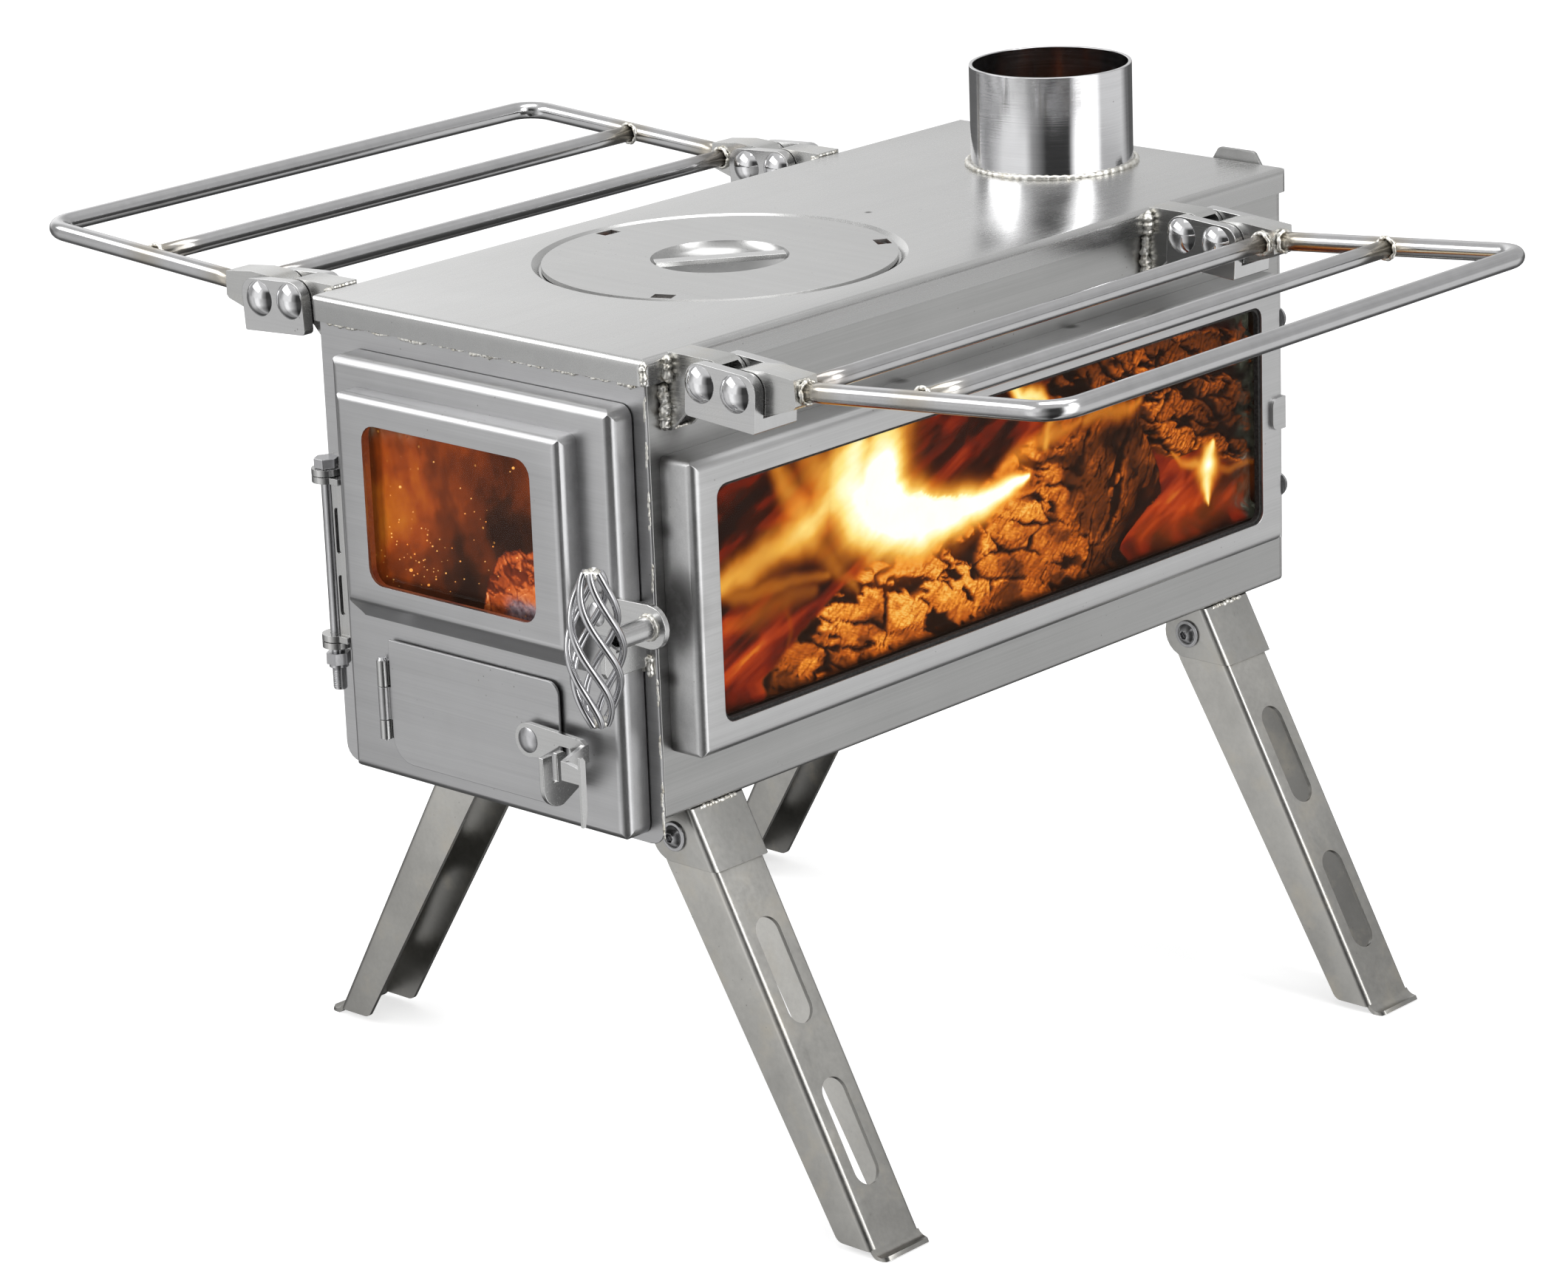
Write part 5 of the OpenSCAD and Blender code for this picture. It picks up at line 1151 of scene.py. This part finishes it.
def wmath(op, a, b=None):
    n_ = wn("ShaderNodeMath", operation=op)
    for i, x in enumerate((a, b)):
        if x is None:
            continue
        if isinstance(x, bpy.types.NodeSocket):
            wt.links.new(x, n_.inputs[i])
        else:
            n_.inputs[i].default_value = x
    return n_.outputs[0]


def wrng(x, a, b, c, d):
    n_ = wn("ShaderNodeMapRange", interpolation_type="SMOOTHSTEP")
    wt.links.new(x, n_.inputs["Value"])
    for k, q in zip(("From Min", "From Max", "To Min", "To Max"), (a, b, c, d)):
        n_.inputs[k].default_value = q
    return n_.outputs[0]


wsep = wn("ShaderNodeSeparateXYZ")
wt.links.new(wn("ShaderNodeTexCoord").outputs["Generated"], wsep.inputs[0])
wx_, wy_, wz_ = wsep.outputs
turn = wmath("ADD", wmath("DIVIDE", wmath("ARCTAN2", wx_, wmath("MULTIPLY", wy_, -1.0)), 2 * math.pi), 0.5)
walls = wn("ShaderNodeValToRGB")
WALL = [(-180, 0.05), (-137, 0.05), (-84, 0.07), (-62, 0.24), (-48, 0.30), (-38, 0.27), (-28, 0.46), (-14, 0.48), (0, 0.30), (34, 0.03), (66, 0.02), (77, 0.80), (104, 0.80), (114, 0.34), (156, 0.34), (172, 0.08)]
els = walls.color_ramp.elements
while len(els) < len(WALL):
    els.new(0.5)
for e_, (a_, b_) in zip(els, WALL):
    e_.position = a_ / 360.0 + 0.5
    e_.color = (b_, b_, b_, 1)
wt.links.new(turn, walls.inputs[0])
low = wrng(wz_, -0.80, -0.50, 0.42, 1.0)
upper = wn("ShaderNodeValToRGB")
UPPER = [(-180, 0.22), (-152, 0.24), (-142, 0.29), (-134, 0.38), (-124, 0.50), (-112, 0.50), (-90, 0.18), (-60, 0.16), (-34, 0.40), (2, 0.42), (12, 0.16), (32, 0.02), (64, 0.02), (76, 0.85), (104, 0.85), (114, 0.24), (150, 0.22), (168, 0.24)]
eus = upper.color_ramp.elements
while len(eus) < len(UPPER):
    eus.new(0.5)
for e_, (a_, b_) in zip(eus, UPPER):
    e_.position = a_ / 360.0 + 0.5
    e_.color = (b_, b_, b_, 1)
wt.links.new(turn, upper.inputs[0])


def wlerp(a, b, f):
    return wmath("ADD", wmath("MULTIPLY", a, wmath("SUBTRACT", 1.0, f)), wmath("MULTIPLY", b, f))


side_v = wmath("MULTIPLY", wmath("MULTIPLY", walls.outputs[0], 2.5), low)
up_v = wmath("MULTIPLY", upper.outputs[0], 2.5)
top_v = wrng(wz_, 0.45, 0.95, 0.62, 0.74)
room = wlerp(wlerp(side_v, up_v, wrng(wz_, -0.12, 0.06, 0.0, 1.0)), top_v, wrng(wz_, 0.45, 0.72, 0.0, 1.0))
lp = wn("ShaderNodeLightPath")
room = wmath("ADD", wmath("MULTIPLY", room, wmath("SUBTRACT", 1.0, lp.outputs["Is Camera Ray"])), wmath("MULTIPLY", lp.outputs["Is Camera Ray"], 1.0))
wt.links.new(room, bg.inputs["Color"])
bg.inputs["Strength"].default_value = 1.0


def area(name, loc, target, size, energy, size_y=None, colour=(1, 1, 1)):
    l = bpy.data.lights.new(name, "AREA")
    l.shape = "RECTANGLE"
    l.size = size
    l.size_y = size_y or size
    l.energy = energy
    l.color = colour
    o_ = bpy.data.objects.new(name, l)
    bpy.context.scene.collection.objects.link(o_)
    o_.location = loc
    o_.rotation_euler = (Vector(target) - Vector(loc)).to_track_quat("-Z", "Y").to_euler()
    return o_


area("key_softbox", (-1.5, -1.6, 1.9), (0, 0, 0.3), 2.6, 25, 1.0)
area("top_softbox", (0.2, 0.1, 2.2), (0, 0, 0.3), 1.2, 16, 1.6)
area("right_strip", (2.2, 0.3, 1.5), (0, 0, 0.3), 0.5, 14, 1.8)

AZ, EL, ROLL = math.radians(43.13), math.radians(17.57), math.radians(-2.17)
DIST, FPX, CXP, CYP = 2527.91, 7089.39, 1060.8, 868.2
back = Vector((math.sin(AZ) * math.cos(EL), -math.cos(AZ) * math.cos(EL), math.sin(EL)))
fwd = -back
right = fwd.cross(Vector((0, 0, 1))).normalized()
up = right.cross(fwd)
c_, s_ = math.cos(ROLL), math.sin(ROLL)
right, up = right * c_ + up * s_, up * c_ - right * s_
eye = W(-30.47, 0, 0.35) + back * (DIST / 1000.0)
cam = bpy.data.cameras.new("camera")
cam.sensor_fit = "HORIZONTAL"
cam.sensor_width = 36.0
cam.lens = 36.0 * FPX / 2122.0
cam.shift_x = (1061.0 - CXP) / 2122.0
cam.shift_y = (CYP - 868.0) / 2122.0
cam.clip_end = 100.0
co = bpy.data.objects.new("camera", cam)
bpy.context.scene.collection.objects.link(co)
m3 = Matrix((right, up, back)).transposed()
co.matrix_world = Matrix.Translation(eye) @ m3.to_4x4()
bpy.context.scene.camera = co
bpy.context.scene.view_settings.view_transform = "Standard"
